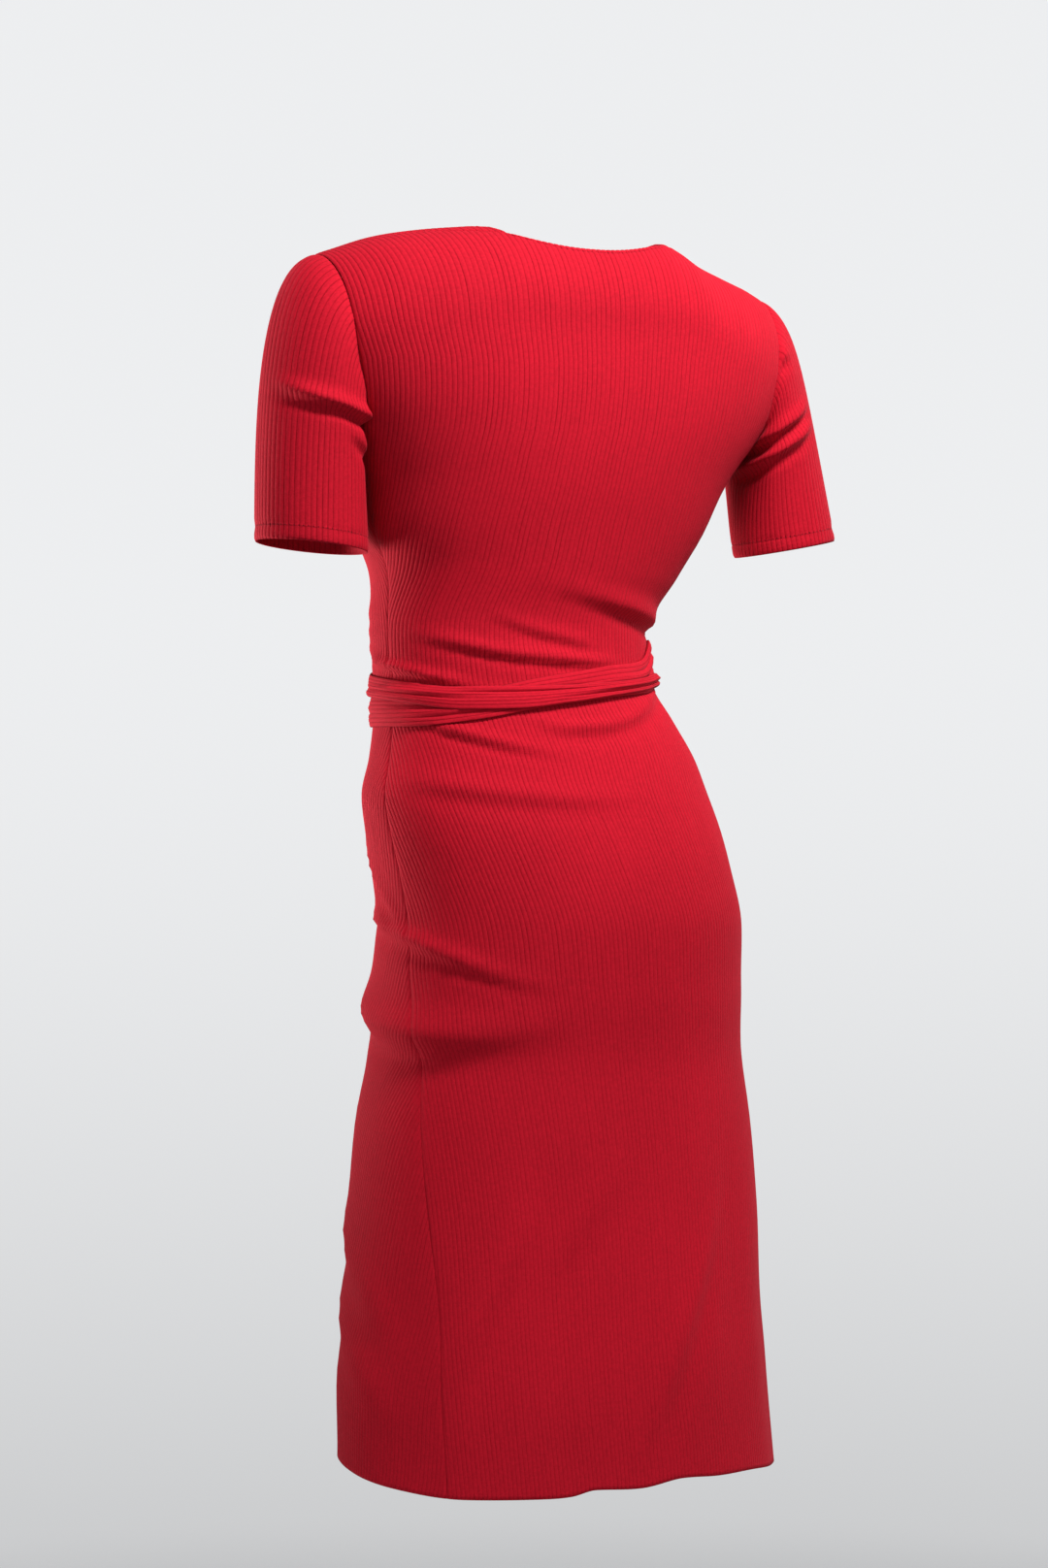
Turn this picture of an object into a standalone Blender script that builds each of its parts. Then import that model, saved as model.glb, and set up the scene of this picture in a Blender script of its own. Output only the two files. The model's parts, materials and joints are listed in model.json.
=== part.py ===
"""Wrap dress in fine rib jersey, in the hollow form that it takes when worn.

Metres, +Z up. The wearer faces -Y and their left side is +X. The origin is on the body's axis
at the height of the neck points, between the shoulders that hold the dress up.

The dress has one form: closed rings up to the armpits, which roll over into a shoulder ridge.
Every panel is a piece of that form between its own seams, so neighbours meet at their seams.
"""

import math
from collections import namedtuple

import bpy
import numpy as np

# Driving dimensions
WALL = 0.0016  # jersey with its ribs
TIE_WALL = 0.0026  # a tie is two layers of jersey
SEAM_GAP = 0.0008
SHOULDER_GAP = 0.0020
PANEL_WIDTH, UPPER_HEIGHT = 0.40, 0.16  # about the size of a panel, to turn the gaps into shares
SECTION_POWER = 2.15  # squareness of the rings
SHOULDER_ROLL = 0.080  # how far below the ridge the shoulder starts to round over
OVERLAP_LIFT = 0.0032  # the over front lies this far outside the under front
SLEEVE_LIFT = 0.0006  # a sleeve starts this far outside its armhole

# Rings of the form: height, centre, half width, depth behind and before the centre
Ring = namedtuple("Ring", "z cx cy half back front")
RINGS = (
    Ring(-1.060, -0.004, 0.000, 0.1905, 0.143, 0.136),
    Ring(-1.004, -0.003, 0.000, 0.1868, 0.139, 0.133),
    Ring(-0.934, 0.000, 0.000, 0.1841, 0.135, 0.133),
    Ring(-0.882, 0.000, 0.000, 0.1794, 0.131, 0.129),
    Ring(-0.807, 0.000, 0.000, 0.1760, 0.127, 0.122),
    Ring(-0.732, 0.000, 0.000, 0.1693, 0.123, 0.114),
    Ring(-0.680, -0.001, 0.000, 0.1605, 0.120, 0.105),
    Ring(-0.624, -0.001, 0.002, 0.1585, 0.122, 0.101),
    Ring(-0.574, -0.003, 0.002, 0.1560, 0.124, 0.097),
    Ring(-0.528, 0.003, 0.000, 0.1535, 0.120, 0.096),
    Ring(-0.496, 0.009, -0.002, 0.1522, 0.114, 0.095),
    Ring(-0.466, 0.014, -0.006, 0.1482, 0.108, 0.096),
    Ring(-0.436, 0.015, -0.010, 0.1395, 0.100, 0.088),
    Ring(-0.406, 0.020, -0.014, 0.1285, 0.091, 0.088),
    Ring(-0.375, 0.027, -0.018, 0.1190, 0.083, 0.088),
    Ring(-0.334, 0.030, -0.019, 0.1180, 0.082, 0.092),
    Ring(-0.286, 0.017, -0.016, 0.1320, 0.090, 0.104),
    Ring(-0.252, 0.013, -0.012, 0.1490, 0.094, 0.120),
    Ring(-0.213, 0.008, -0.006, 0.1614, 0.097, 0.127),
    Ring(-0.195, 0.006, -0.003, 0.1706, 0.097, 0.124),
    Ring(-0.178, 0.003, -0.001, 0.1810, 0.097, 0.119),
    Ring(-0.153, 0.001, 0.001, 0.1960, 0.097, 0.118),
    Ring(-0.120, 0.000, 0.002, 0.2090, 0.096, 0.114),
    Ring(-0.090, 0.000, 0.002, 0.2165, 0.094, 0.112),
)

# Seams round the body, in degrees from the wearer's left by the back, and the back's grain line
SeamRow = namedtuple("SeamRow", "z left right grain")
SEAM_ROWS = (
    SeamRow(-1.060, 41.0, 206.0, 98.0),
    SeamRow(-0.880, 38.0, 203.0, 98.0),
    SeamRow(-0.785, 32.0, 200.0, 98.0),
    SeamRow(-0.690, 25.0, 197.0, 97.0),
    SeamRow(-0.590, 15.0, 191.0, 95.0),
    SeamRow(-0.500, 11.0, 186.0, 92.0),
    SeamRow(-0.360, 8.0, 183.0, 88.0),
    SeamRow(-0.250, 4.0, 181.0, 88.0),
    SeamRow(-0.178, 0.0, 180.0, 90.0),
)

# Shoulder ridge from the wearer's right to the left
RidgeRow = namedtuple("RidgeRow", "x z y")
RIDGE = (
    RidgeRow(-0.230, -0.0640, -0.028),
    RidgeRow(-0.202, -0.0500, -0.023),
    RidgeRow(-0.179, -0.0430, -0.017),
    RidgeRow(-0.150, -0.0360, -0.011),
    RidgeRow(-0.119, -0.0270, -0.002),
    RidgeRow(-0.090, -0.0120, 0.006),
    RidgeRow(-0.060, -0.0050, 0.010),
    RidgeRow(0.060, -0.0045, 0.010),
    RidgeRow(0.076, -0.0060, 0.010),
    RidgeRow(0.132, -0.0118, -0.005),
    RidgeRow(0.163, -0.0180, -0.012),
    RidgeRow(0.191, -0.0278, -0.020),
    RidgeRow(0.2035, -0.0325, -0.024),
    RidgeRow(0.230, -0.0480, -0.028),
)
BELT_FADE = (0.009, 0.022)  # folds rise to their height between these distances from the ties
SEAM_BEHIND_RIDGE = 28.0  # degrees of the roll between ridge and shoulder seam at the neck
NECK_BEHIND_RIDGE = 43.0  # degrees of the roll between ridge and neck edge at the centre back

# Half widths to the armhole seam by height, for each side
ArmholeRow = namedtuple("ArmholeRow", "z left right")
ARMHOLE = (
    ArmholeRow(-0.178, 0.1840, -0.1780),
    ArmholeRow(-0.165, 0.1840, -0.1800),
    ArmholeRow(-0.150, 0.1860, -0.1810),
    ArmholeRow(-0.120, 0.1940, -0.1840),
    ArmholeRow(-0.090, 0.1985, -0.1890),
    ArmholeRow(-0.060, 0.2010, -0.1950),
    ArmholeRow(-0.0325, 0.2035, -0.2020),
)
ARMPIT_Z = -0.178
TIP_X = {"left": 0.2035, "right": -0.2020}
NECK_X = {"left": 0.0670, "right": -0.0800}

# Hem height by angle round the body
HemRow = namedtuple("HemRow", "angle z")
HEM = (
    HemRow(-180.0, -1.024),
    HemRow(-90.0, -1.010),
    HemRow(-20.0, -1.003),
    HemRow(40.0, -1.021),
    HemRow(90.0, -1.020),
    HemRow(130.0, -1.020),
    HemRow(180.0, -1.024),
)

# Leading edges of the fronts: angle round the body by height. Angles fall from -5 to -175.
EdgeRow = namedtuple("EdgeRow", "z under over")
EDGES = (
    EdgeRow(-1.060, -128.0, -52.0),
    EdgeRow(-0.800, -130.0, -50.0),
    EdgeRow(-0.600, -134.0, -47.0),
    EdgeRow(-0.440, -150.0, -43.0),
    EdgeRow(-0.395, -160.0, -40.0),
    EdgeRow(-0.360, -158.0, -42.0),
    EdgeRow(-0.300, -124.0, -60.0),
    EdgeRow(-0.250, -106.0, -75.0),
    EdgeRow(-0.200, -91.0, -89.0),
    EdgeRow(-0.160, -83.0, -97.0),
    EdgeRow(-0.120, -77.5, -102.5),
)
NECK_RISE_Z = -0.120  # above this the front edges run up to the neck points

# Folds across the body: each is a ridge with a trough under it, from one angle to another
CrossFold = namedtuple("CrossFold", "start end z_start z_mid z_end width ridge trough")
CROSS_FOLDS = (
    CrossFold(48, 128, -0.328, -0.350, -0.352, 0.011, 0.0060, 0.0040),
    CrossFold(96, 172, -0.292, -0.312, -0.322, 0.012, 0.0060, 0.0042),
    CrossFold(12, 66, -0.354, -0.366, -0.372, 0.007, 0.0035, 0.0030),
    CrossFold(44, 96, -0.404, -0.424, -0.436, 0.011, 0.0040, 0.0030),
    CrossFold(98, 168, -0.418, -0.408, -0.382, 0.012, 0.0055, 0.0042),
    CrossFold(24, 140, -0.458, -0.476, -0.468, 0.022, 0.0028, 0.0030),
    CrossFold(-44, 78, -0.556, -0.585, -0.618, 0.016, 0.0050, 0.0085),
    CrossFold(-44, 72, -0.632, -0.668, -0.676, 0.022, 0.0075, 0.0035),
    CrossFold(-40, 34, -0.850, -0.905, -0.945, 0.016, 0.0035, 0.0025),
    CrossFold(-168, -62, -0.440, -0.480, -0.520, 0.034, 0.0040, 0.0030),
    CrossFold(-150, -50, -0.560, -0.600, -0.650, 0.040, 0.0035, 0.0020),
    CrossFold(-160, -100, -0.300, -0.290, -0.270, 0.024, 0.0030, 0.0020),
    CrossFold(-110, -40, -0.262, -0.285, -0.310, 0.024, 0.0030, 0.0020),
)

# Soft vertical waves of the skirt: angle, heights between which it shows, width in degrees
DownFold = namedtuple("DownFold", "angle top bottom width height")
DOWN_FOLDS = (
    DownFold(72, -0.720, -1.000, 9, -0.0030),
    DownFold(126, -0.690, -0.960, 10, -0.0030),
    DownFold(150, -0.800, -1.060, 9, -0.0025),
    DownFold(100, -0.780, -1.060, 12, 0.0025),
    DownFold(45, -0.800, -1.060, 10, 0.0025),
    DownFold(8, -0.780, -1.060, 13, 0.0030),
    DownFold(-30, -0.700, -1.060, 12, -0.0030),
    DownFold(-75, -0.520, -1.060, 12, 0.0035),
    DownFold(-105, -0.600, -1.060, 10, -0.0035),
    DownFold(-138, -0.560, -1.060, 12, 0.0035),
)

# Sleeves: cuff centre, radius, heights of its outer and inner edge
Sleeve = namedtuple("Sleeve", "cx cy radius outer_z inner_z reach")
SLEEVES = {
    "left": Sleeve(0.2128, -0.010, 0.0453, -0.2640, -0.2735, 0.032),
    "right": Sleeve(-0.2180, -0.004, 0.0428, -0.2465, -0.2630, 0.018),
}

# Ties: middle height, half width by angle, in the order that each runs
TieRow = namedtuple("TieRow", "angle z half")
TIE_UNDER = (
    TieRow(-164, -0.372, 0.0150),
    TieRow(-176, -0.366, 0.0155),
    TieRow(-184, -0.360, 0.0160),
    TieRow(-200, -0.362, 0.0150),
    TieRow(-222, -0.370, 0.0140),
    TieRow(-250, -0.376, 0.0130),
    TieRow(-280, -0.386, 0.0120),
    TieRow(-305, -0.396, 0.0115),
    TieRow(-335, -0.401, 0.0120),
    TieRow(-360, -0.400, 0.0125),
    TieRow(-388, -0.399, 0.0130),
    TieRow(-420, -0.396, 0.0130),
    TieRow(-443, -0.392, 0.0115),
)
TIE_OVER = (
    TieRow(-38, -0.374, 0.0095),
    TieRow(-10, -0.379, 0.0090),
    TieRow(20, -0.385, 0.0092),
    TieRow(50, -0.391, 0.0096),
    TieRow(80, -0.391, 0.0096),
    TieRow(105, -0.389, 0.0085),
    TieRow(130, -0.386, 0.0070),
    TieRow(155, -0.383, 0.0070),
    TieRow(180, -0.382, 0.0090),
    TieRow(215, -0.384, 0.0120),
    TieRow(242, -0.388, 0.0125),
    TieRow(256, -0.390, 0.0115),
)
SLIT = (-0.394, -0.328)  # lower and upper end of the opening in the right side seam
SLIT_HALF_DEGREES = 2.6

# How the tie comes out through the slit: angle, and how far its outer side stands off the form
SLIT_STEPS = ((-164.0, -0.0004), (-169.0, -0.0022), (-174.6, -0.0022), (-179.2, 0.0039), (-186.0, 0.0044))

KNOT_ANGLE = -93.0
KNOT_Z = -0.391
KNOT_SIZE = (0.038, 0.017, 0.031)
END_LENGTH = {"over": 0.300, "under": 0.265}
END_HALF = 0.0145

# Grid steps of the faceted solids: each run of rows ends at a height and has a number of steps
RowRun = namedtuple("RowRun", "to steps")
ROW_RUNS = (RowRun(-0.700, 6), RowRun(-0.440, 9), RowRun(-0.310, 10), RowRun(-0.178, 5))
UPPER_STEPS = 7
BACK_STEPS = (6, 6, 6)  # to the first neck point, across the neck, to the other tip
FRONT_STEPS = 12
SLEEVE_AROUND = 24
SLEEVE_STEPS = 7
TIE_STEP = 11.0  # degrees
TIE_ACROSS = (1.0, 0.5, 0.0, -0.5, -1.0)
END_CLEAR = 0.0036  # the free ends hang a little clear of the skirt
TIE_CLEAR = 0.0011  # a tie lies this far off what is under it

RED = (0.58, 0.012, 0.03, 1.0)


def curve_through(at, xs, ys):
    """Smooth curve through the points (xs, ys), xs rising, that keeps within each pair of points."""
    xs = np.asarray(xs, float)
    ys = np.asarray(ys, float)
    step = np.diff(xs)
    slope = np.diff(ys) / step
    tangent = np.concatenate([slope[:1], 0.5 * (slope[:-1] + slope[1:]), slope[-1:]])
    turns = slope[:-1] * slope[1:] <= 0
    tangent[1:-1][turns] = 0.0
    limit = 3.0 * np.minimum(np.abs(slope[:-1]), np.abs(slope[1:]))
    tangent[1:-1] = np.clip(tangent[1:-1], -limit, limit)
    at = np.clip(np.asarray(at, float), xs[0], xs[-1])
    i = np.clip(np.searchsorted(xs, at) - 1, 0, len(step) - 1)
    t = (at - xs[i]) / step[i]
    square, cube = t * t, t * t * t
    start = (2 * cube - 3 * square + 1) * ys[i] + (cube - 2 * square + t) * step[i] * tangent[i]
    end = (3 * square - 2 * cube) * ys[i + 1] + (cube - square) * step[i] * tangent[i + 1]
    return start + end


def column(rows, at, name, key):
    """Column `name` of a table, read at `at` of column `key`."""
    return curve_through(at, [getattr(r, key) for r in rows], [getattr(r, name) for r in rows])


def smooth_step(value, low, high):
    t = np.clip((np.asarray(value, float) - low) / (high - low), 0.0, 1.0)
    return t * t * (3.0 - 2.0 * t)


def full_turn(phi):
    """Angle in degrees between -180 and 180."""
    return (np.asarray(phi, float) + 180.0) % 360.0 - 180.0


def fold_height(phi, z):
    """How far the folds stand out of the plain form."""
    phi, z = np.broadcast_arrays(np.asarray(phi, float), np.asarray(z, float))
    total = np.zeros(phi.shape)
    for fold in CROSS_FOLDS:
        turn = (phi - fold.start) % 360.0 / (fold.end - fold.start)
        inside = turn < 1.0
        t = np.where(inside, turn, 0.0)
        a, b, c = fold.z_start, fold.z_mid, fold.z_end
        middle = a * (1 - t) * (1 - 2 * t) + 4 * b * t * (1 - t) + c * t * (2 * t - 1)
        fade = np.sin(np.pi * t) ** 1.2 * inside
        up = (z - middle) / fold.width
        total += fade * (fold.ridge * np.exp(-up * up) - fold.trough * np.exp(-(up * 1.5 + 1.9) ** 2))
    for fold in DOWN_FOLDS:
        side = full_turn(phi - fold.angle) / fold.width
        fade = smooth_step(-z, -fold.top, -fold.top + 0.12)
        fade = fade * (1.0 - smooth_step(-z, -fold.bottom - 0.1, -fold.bottom + 0.05))
        total += fold.height * np.exp(-side * side) * fade
    return total


def base_point(phi, level, out=0.0):
    """Point of the plain form. Above the shoulder's roll, level counts on along the surface."""
    phi, level, out = np.broadcast_arrays(
        np.asarray(phi, float), np.asarray(level, float), np.asarray(out, float)
    )
    ring = np.clip(level, RINGS[0].z, RINGS[-1].z)
    angle = np.radians(phi)
    power = 2.0 / SECTION_POWER
    cos, sin = np.cos(angle), np.sin(angle)
    half = column(RINGS, ring, "half", "z") + out
    x = column(RINGS, ring, "cx", "z") + half * np.sign(cos) * np.abs(cos) ** power
    side = np.abs(sin) ** power
    back_y = column(RINGS, ring, "cy", "z") + (column(RINGS, ring, "back", "z") + out) * side
    front_y = column(RINGS, ring, "cy", "z") - (column(RINGS, ring, "front", "z") + out) * side
    top = column(RIDGE, x, "z", "x") + out
    ridge_y = column(RIDGE, x, "y", "x")
    start = top - SHOULDER_ROLL
    roll = np.clip((level - start) / SHOULDER_ROLL, 0.0, 2.6)
    z = np.where(level < start, level, start + SHOULDER_ROLL * np.sin(roll))
    reach = np.cos(roll)
    behind = (sin >= 0) ^ (reach < 0)
    y = ridge_y + (np.where(behind, back_y, front_y) - ridge_y) * np.abs(reach)
    return np.stack([x, y, z], axis=-1)


def body_point(phi, level, out=0.0):
    """Point of the folded form, moved out by `out` along its normal."""
    step_phi, step_level = 0.4, 0.001
    across = base_point(phi + step_phi, level) - base_point(phi - step_phi, level)
    along = base_point(phi, level + step_level) - base_point(phi, level - step_level)
    normal = np.cross(across, along)
    normal /= np.linalg.norm(normal, axis=-1, keepdims=True) + 1e-12
    lift = out + folds_shown(phi, level)
    return base_point(phi, level) + normal * np.asarray(lift)[..., None]


def level_of_roll(x, roll):
    """Level at which the form over x has rolled by `roll` radians; a quarter turn is the ridge."""
    return column(RIDGE, x, "z", "x") - SHOULDER_ROLL + SHOULDER_ROLL * roll


def height_at(x, level):
    """Height of the form over x at a level."""
    start = column(RIDGE, x, "z", "x") - SHOULDER_ROLL
    roll = np.clip((level - start) / SHOULDER_ROLL, 0.0, math.pi)
    return np.where(level < start, level, start + SHOULDER_ROLL * np.sin(roll))


def angle_at(x, level, behind):
    """Angle round the body of the point over x at a level."""
    ring = np.clip(level, RINGS[0].z, RINGS[-1].z)
    share = (x - column(RINGS, ring, "cx", "z")) / column(RINGS, ring, "half", "z")
    cos = np.sign(share) * np.clip(np.abs(share), 0.0, 1.0) ** (SECTION_POWER / 2.0)
    angle = np.degrees(np.arccos(np.clip(cos, -1.0, 1.0)))
    return angle if behind else -angle


def hem_level(angle):
    return column(HEM, full_turn(angle), "z", "angle")


def seam_roll(x):
    """How far the shoulder seam lies behind the ridge over x, in radians of the roll."""
    side = "left" if x > 0 else "right"
    share = (TIP_X[side] - x) / (TIP_X[side] - NECK_X[side])
    return math.radians(SEAM_BEHIND_RIDGE) * min(max(share, 0.0), 1.0)


def slit_width(z):
    """Degrees by which the right side seam opens for the tie."""
    low, high = SLIT
    rise = smooth_step(z, low - 0.006, low + 0.004)
    return SLIT_HALF_DEGREES * rise * (1.0 - smooth_step(z, high - 0.004, high + 0.006))


def side_angle(side, behind, level):
    """Angle of a panel's sewn side: its side seam, and above the armpit its armhole."""
    if level > ARMPIT_Z:
        z = float(height_at(TIP_X[side], level))
        x = float(column(ARMHOLE, z, side, "z"))
        return float(angle_at(x, level, behind))
    angle = float(column(SEAM_ROWS, level, side, "z"))
    if side == "right":
        angle += slit_width(level) * (-1.0 if behind else 1.0)
        angle -= 0.0 if behind else 360.0
    return float(angle)


def edge_angle(kind, side, level, top_level):
    """Angle of a front's leading edge, which above the bust runs up to the neck point."""
    if level <= NECK_RISE_Z:
        return float(column(EDGES, level, kind, "z"))
    low = base_point(float(column(EDGES, NECK_RISE_Z, kind, "z")), NECK_RISE_Z)[0]
    share = (level - NECK_RISE_Z) / (top_level - NECK_RISE_Z)
    x = low + (NECK_X[side] - low) * share
    return float(angle_at(x, level, False))


def back_top(share):
    """Angle and level of the back's upper edge: shoulder seam, neck and shoulder seam."""
    tip = level_of_roll(0.0, math.pi / 2)
    first = float(angle_at(TIP_X["left"], tip, True))
    last = float(angle_at(TIP_X["right"], tip, True))
    angle = first + (last - first) * share
    x = float(base_point(angle, tip)[0])
    middle = 0.5 * (NECK_X["left"] + NECK_X["right"])
    half = 0.5 * (NECK_X["left"] - NECK_X["right"])
    across = abs(x - middle) / half
    roll = seam_roll(x)
    if across < 1.0:
        drop = NECK_BEHIND_RIDGE - SEAM_BEHIND_RIDGE
        roll = math.radians(SEAM_BEHIND_RIDGE + drop * (1.0 - across**2.2))
    return angle, float(level_of_roll(x, math.pi / 2 - roll))


def front_top(side, share):
    """Level of a front's shoulder seam, from the tip to the neck point."""
    tip = level_of_roll(0.0, math.pi / 2)
    first = float(angle_at(TIP_X[side], tip, False))
    last = float(angle_at(NECK_X[side], tip, False))
    x = float(base_point(first + (last - first) * share, tip)[0])
    return float(level_of_roll(x, math.pi / 2 + seam_roll(x)))


def lower_level(angle, rise):
    """Level at an angle, a share `rise` of the way from the hem to the armpits."""
    return float(hem_level(angle) + (ARMPIT_Z - hem_level(angle)) * rise)


def seam_angle(side, behind, rise):
    """Angle of a side seam at a rise. Both panels take it from here, so their edges meet."""
    level = lower_level(SEAM_ROWS[0].left if side == "left" else SEAM_ROWS[0].right, rise)
    return side_angle(side, behind, min(level, ARMPIT_Z))


def armhole_angle(side, behind, above):
    """Angle of an armhole's edge, a share `above` of the way from the armpit to the shoulder tip."""
    tip = float(level_of_roll(TIP_X[side], math.pi / 2))
    return side_angle(side, behind, ARMPIT_Z + (tip - ARMPIT_Z) * above + 1e-6)


def back_at(share, rise):
    """Angle and level of a point of the back. A rise up to 1 is below the armpits, 1 to 2 above."""
    top = back_top(share)[1]
    if rise <= 1.0:
        left = seam_angle("left", True, rise)
        right = seam_angle("right", True, rise)
        angle = left + (right - left) * share
        return angle, lower_level(angle, rise)
    above = rise - 1.0
    left, right = (armhole_angle(side, True, above) for side in ("left", "right"))
    return left + (right - left) * share, ARMPIT_Z + (top - ARMPIT_Z) * above


def front_at(kind, share, rise):
    """Angle and level of a point of a front, share 0 at its sewn side and 1 at its leading edge."""
    side = "left" if kind == "under" else "right"
    neck = front_top(side, 1.0)
    if rise <= 1.0:
        start = seam_angle(side, False, rise)
        end = edge_angle(kind, side, lower_level(-90.0, rise), neck)
        angle = start + (end - start) * share
        return angle, lower_level(angle, rise)
    above = rise - 1.0
    start = armhole_angle(side, False, above)
    end = edge_angle(kind, side, ARMPIT_Z + (neck - ARMPIT_Z) * above, neck)
    return start + (end - start) * share, ARMPIT_Z + (front_top(side, share) - ARMPIT_Z) * above


def over_lift(share, rise):
    """How far the over front stands outside the form to clear the under front."""
    return OVERLAP_LIFT * smooth_step(share, 0.0, 0.12) * (1.0 - smooth_step(rise, 1.15, 1.6))


def row_rises():
    """The rises of a panel's rows, closer together at the waist."""
    hem = -1.014
    rises = []
    low = hem
    for run in ROW_RUNS:
        rises += [low + (run.to - low) * i / run.steps for i in range(run.steps)]
        low = run.to
    lower = [(level - hem) / (ARMPIT_Z - hem) for level in rises]
    upper = [1.0 + i / UPPER_STEPS for i in range(UPPER_STEPS + 1)]
    return lower + upper


def back_shares():
    """The shares of the back's columns, with one column on each neck point."""
    tip = level_of_roll(0.0, math.pi / 2)
    tips = [float(angle_at(TIP_X[side], tip, True)) for side in ("left", "right")]
    necks = [float(angle_at(NECK_X[side], tip, True)) for side in ("left", "right")]
    marks = [0.0] + [(angle - tips[0]) / (tips[1] - tips[0]) for angle in necks] + [1.0]
    shares = [0.0]
    for start, end, steps in zip(marks, marks[1:], BACK_STEPS):
        shares += [start + (end - start) * (i + 1) / steps for i in range(steps)]
    return shares


def trimmed(share, rise):
    """Share and rise pulled in by half a seam gap at the sewn edges."""
    side = SEAM_GAP / 2 / PANEL_WIDTH
    top = SHOULDER_GAP / 2 / UPPER_HEIGHT
    return side + share * (1.0 - 2.0 * side), min(rise, 2.0 - top)


def belt_edges(angle):
    """Lower and upper edge of the two ties together, round the body."""
    lows, highs = [], []
    for rows in (TIE_UNDER, TIE_OVER):
        for turn in (-720.0, -360.0, 0.0, 360.0):
            spot = angle + turn
            if min(rows[0].angle, rows[-1].angle) <= spot <= max(rows[0].angle, rows[-1].angle):
                z, half = tie_at(rows, spot)
                lows.append(z - half)
                highs.append(z + half)
    return (min(lows), max(highs)) if lows else (-0.39, -0.37)


def tie_at(rows, angle):
    """Middle height and half width of a tie at an angle."""
    ordered = sorted(rows)
    return float(column(ordered, angle, "z", "angle")), float(column(ordered, angle, "half", "angle"))


BELT = [belt_edges(float(angle)) for angle in range(-180, 181, 3)]
BELT_ANGLES = np.arange(-180, 181, 3)
BELT_LOW = np.array([low for low, high in BELT])
BELT_HIGH = np.array([high for low, high in BELT])


def folds_shown(phi, z):
    """Folds flatten out where the ties hold the cloth down."""
    turn = full_turn(phi)
    low = np.interp(turn, BELT_ANGLES, BELT_LOW)
    high = np.interp(turn, BELT_ANGLES, BELT_HIGH)
    outside = np.maximum(low - z, z - high)
    return fold_height(phi, z) * smooth_step(outside, *BELT_FADE)


def grid_object(name, points, wall, wraps=False):
    """An object from rows of points, thickened inward. Rows run up and columns to the wearer's right."""
    rows, columns = len(points), len(points[0])
    verts = [tuple(float(c) for c in p) for row in points for p in row]
    faces = []
    for i in range(rows - 1):
        for j in range(columns if wraps else columns - 1):
            k = (j + 1) % columns
            faces.append((i * columns + j, i * columns + k, (i + 1) * columns + k, (i + 1) * columns + j))
    mesh = bpy.data.meshes.new(name)
    mesh.from_pydata(verts, [], faces)
    mesh.update()
    mesh.shade_smooth()
    obj = bpy.data.objects.new(name, mesh)
    thick = obj.modifiers.new("Wall", "SOLIDIFY")
    thick.thickness = wall
    thick.offset = -1.0
    return obj


def panel(name, place, shares, lift=None):
    """A body panel. `place` gives the angle and level of each point."""
    rows = []
    for rise in row_rises():
        row = []
        for share in shares:
            s, r = trimmed(share, rise)
            angle, level = place(s, r)
            out = float(lift(s, r)) if lift else 0.0
            row.append(body_point(angle, level, out))
        rows.append(row)
    return rows


def back_panel():
    rows = panel("back", back_at, back_shares())
    return grid_object("back", rows, WALL)


def front_panel(kind):
    shares = [i / FRONT_STEPS for i in range(FRONT_STEPS + 1)]
    lift = over_lift if kind == "over" else None
    rows = panel(kind, lambda s, r: front_at(kind, s, r), shares, lift)
    if kind == "over":
        return grid_object("front_right", rows, WALL)
    return grid_object("front_left", [row[::-1] for row in rows], WALL)


def armhole_loop(side):
    """The armhole's seam as a closed loop from the armpit up behind and down before, evenly spaced."""
    loops = []
    tip = float(level_of_roll(TIP_X[side], math.pi / 2))
    for behind in (True, False):
        levels = np.linspace(ARMPIT_Z, tip, 60)
        angles = [side_angle(side, behind, level + 1e-6) for level in levels]
        line = body_point(np.array(angles), levels, 0.0)
        length = np.concatenate([[0.0], np.cumsum(np.linalg.norm(np.diff(line, axis=0), axis=1))])
        even = np.linspace(0.0, length[-1], SLEEVE_AROUND // 2 + 1)
        loops.append(np.stack([np.interp(even, length, line[:, k]) for k in range(3)], axis=-1))
    return np.concatenate([loops[0], loops[1][-2:0:-1]])


def sleeve(side):
    """A tube from the armhole to a round cuff, full at the shoulder and close under the arm."""
    shape = SLEEVES[side]
    sign = 1.0 if side == "left" else -1.0
    arm = armhole_loop(side)
    count = len(arm)
    turn = np.arange(count) * 2 * math.pi / count
    inward = np.cos(turn)
    cuff = np.stack(
        [
            shape.cx - sign * shape.radius * inward,
            shape.cy + shape.radius * np.sin(turn),
            0.5 * (shape.outer_z + shape.inner_z) - 0.5 * (shape.outer_z - shape.inner_z) * inward,
        ],
        axis=-1,
    )
    top = 0.5 * (1.0 - inward)
    leave = np.stack([sign * (0.35 + 0.65 * top), 0.25 * np.sin(turn), -1.0 + 0.75 * top], axis=-1)
    leave /= np.linalg.norm(leave, axis=1, keepdims=True)
    arm = arm + np.array([sign, 0.0, 0.0]) * SLEEVE_LIFT
    reach = 0.012 + shape.reach * top
    rise = 0.030 + 0.105 * top
    rows = []
    for i in range(SLEEVE_STEPS + 1):
        t = i / SLEEVE_STEPS
        a, b = (1 - t) ** 3, 3 * t * (1 - t) ** 2
        c, d = 3 * t * t * (1 - t), t**3
        lower = cuff + np.array([0.0, 0.0, 1.0]) * rise[:, None]
        upper = arm + leave * reach[:, None]
        rows.append(a * cuff + b * lower + c * upper + d * arm)
    if side == "left":
        rows = [row[::-1] for row in rows]
    return grid_object("sleeve_" + side, rows, WALL, wraps=True)


def front_lift(angle):
    """Height of what lies on the form where a tie passes over the over front."""
    turn = full_turn(angle)
    on_over = smooth_step(turn, -172.0, -160.0) * (1.0 - smooth_step(turn, -40.0, -34.0))
    return OVERLAP_LIFT * float(on_over)


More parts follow.
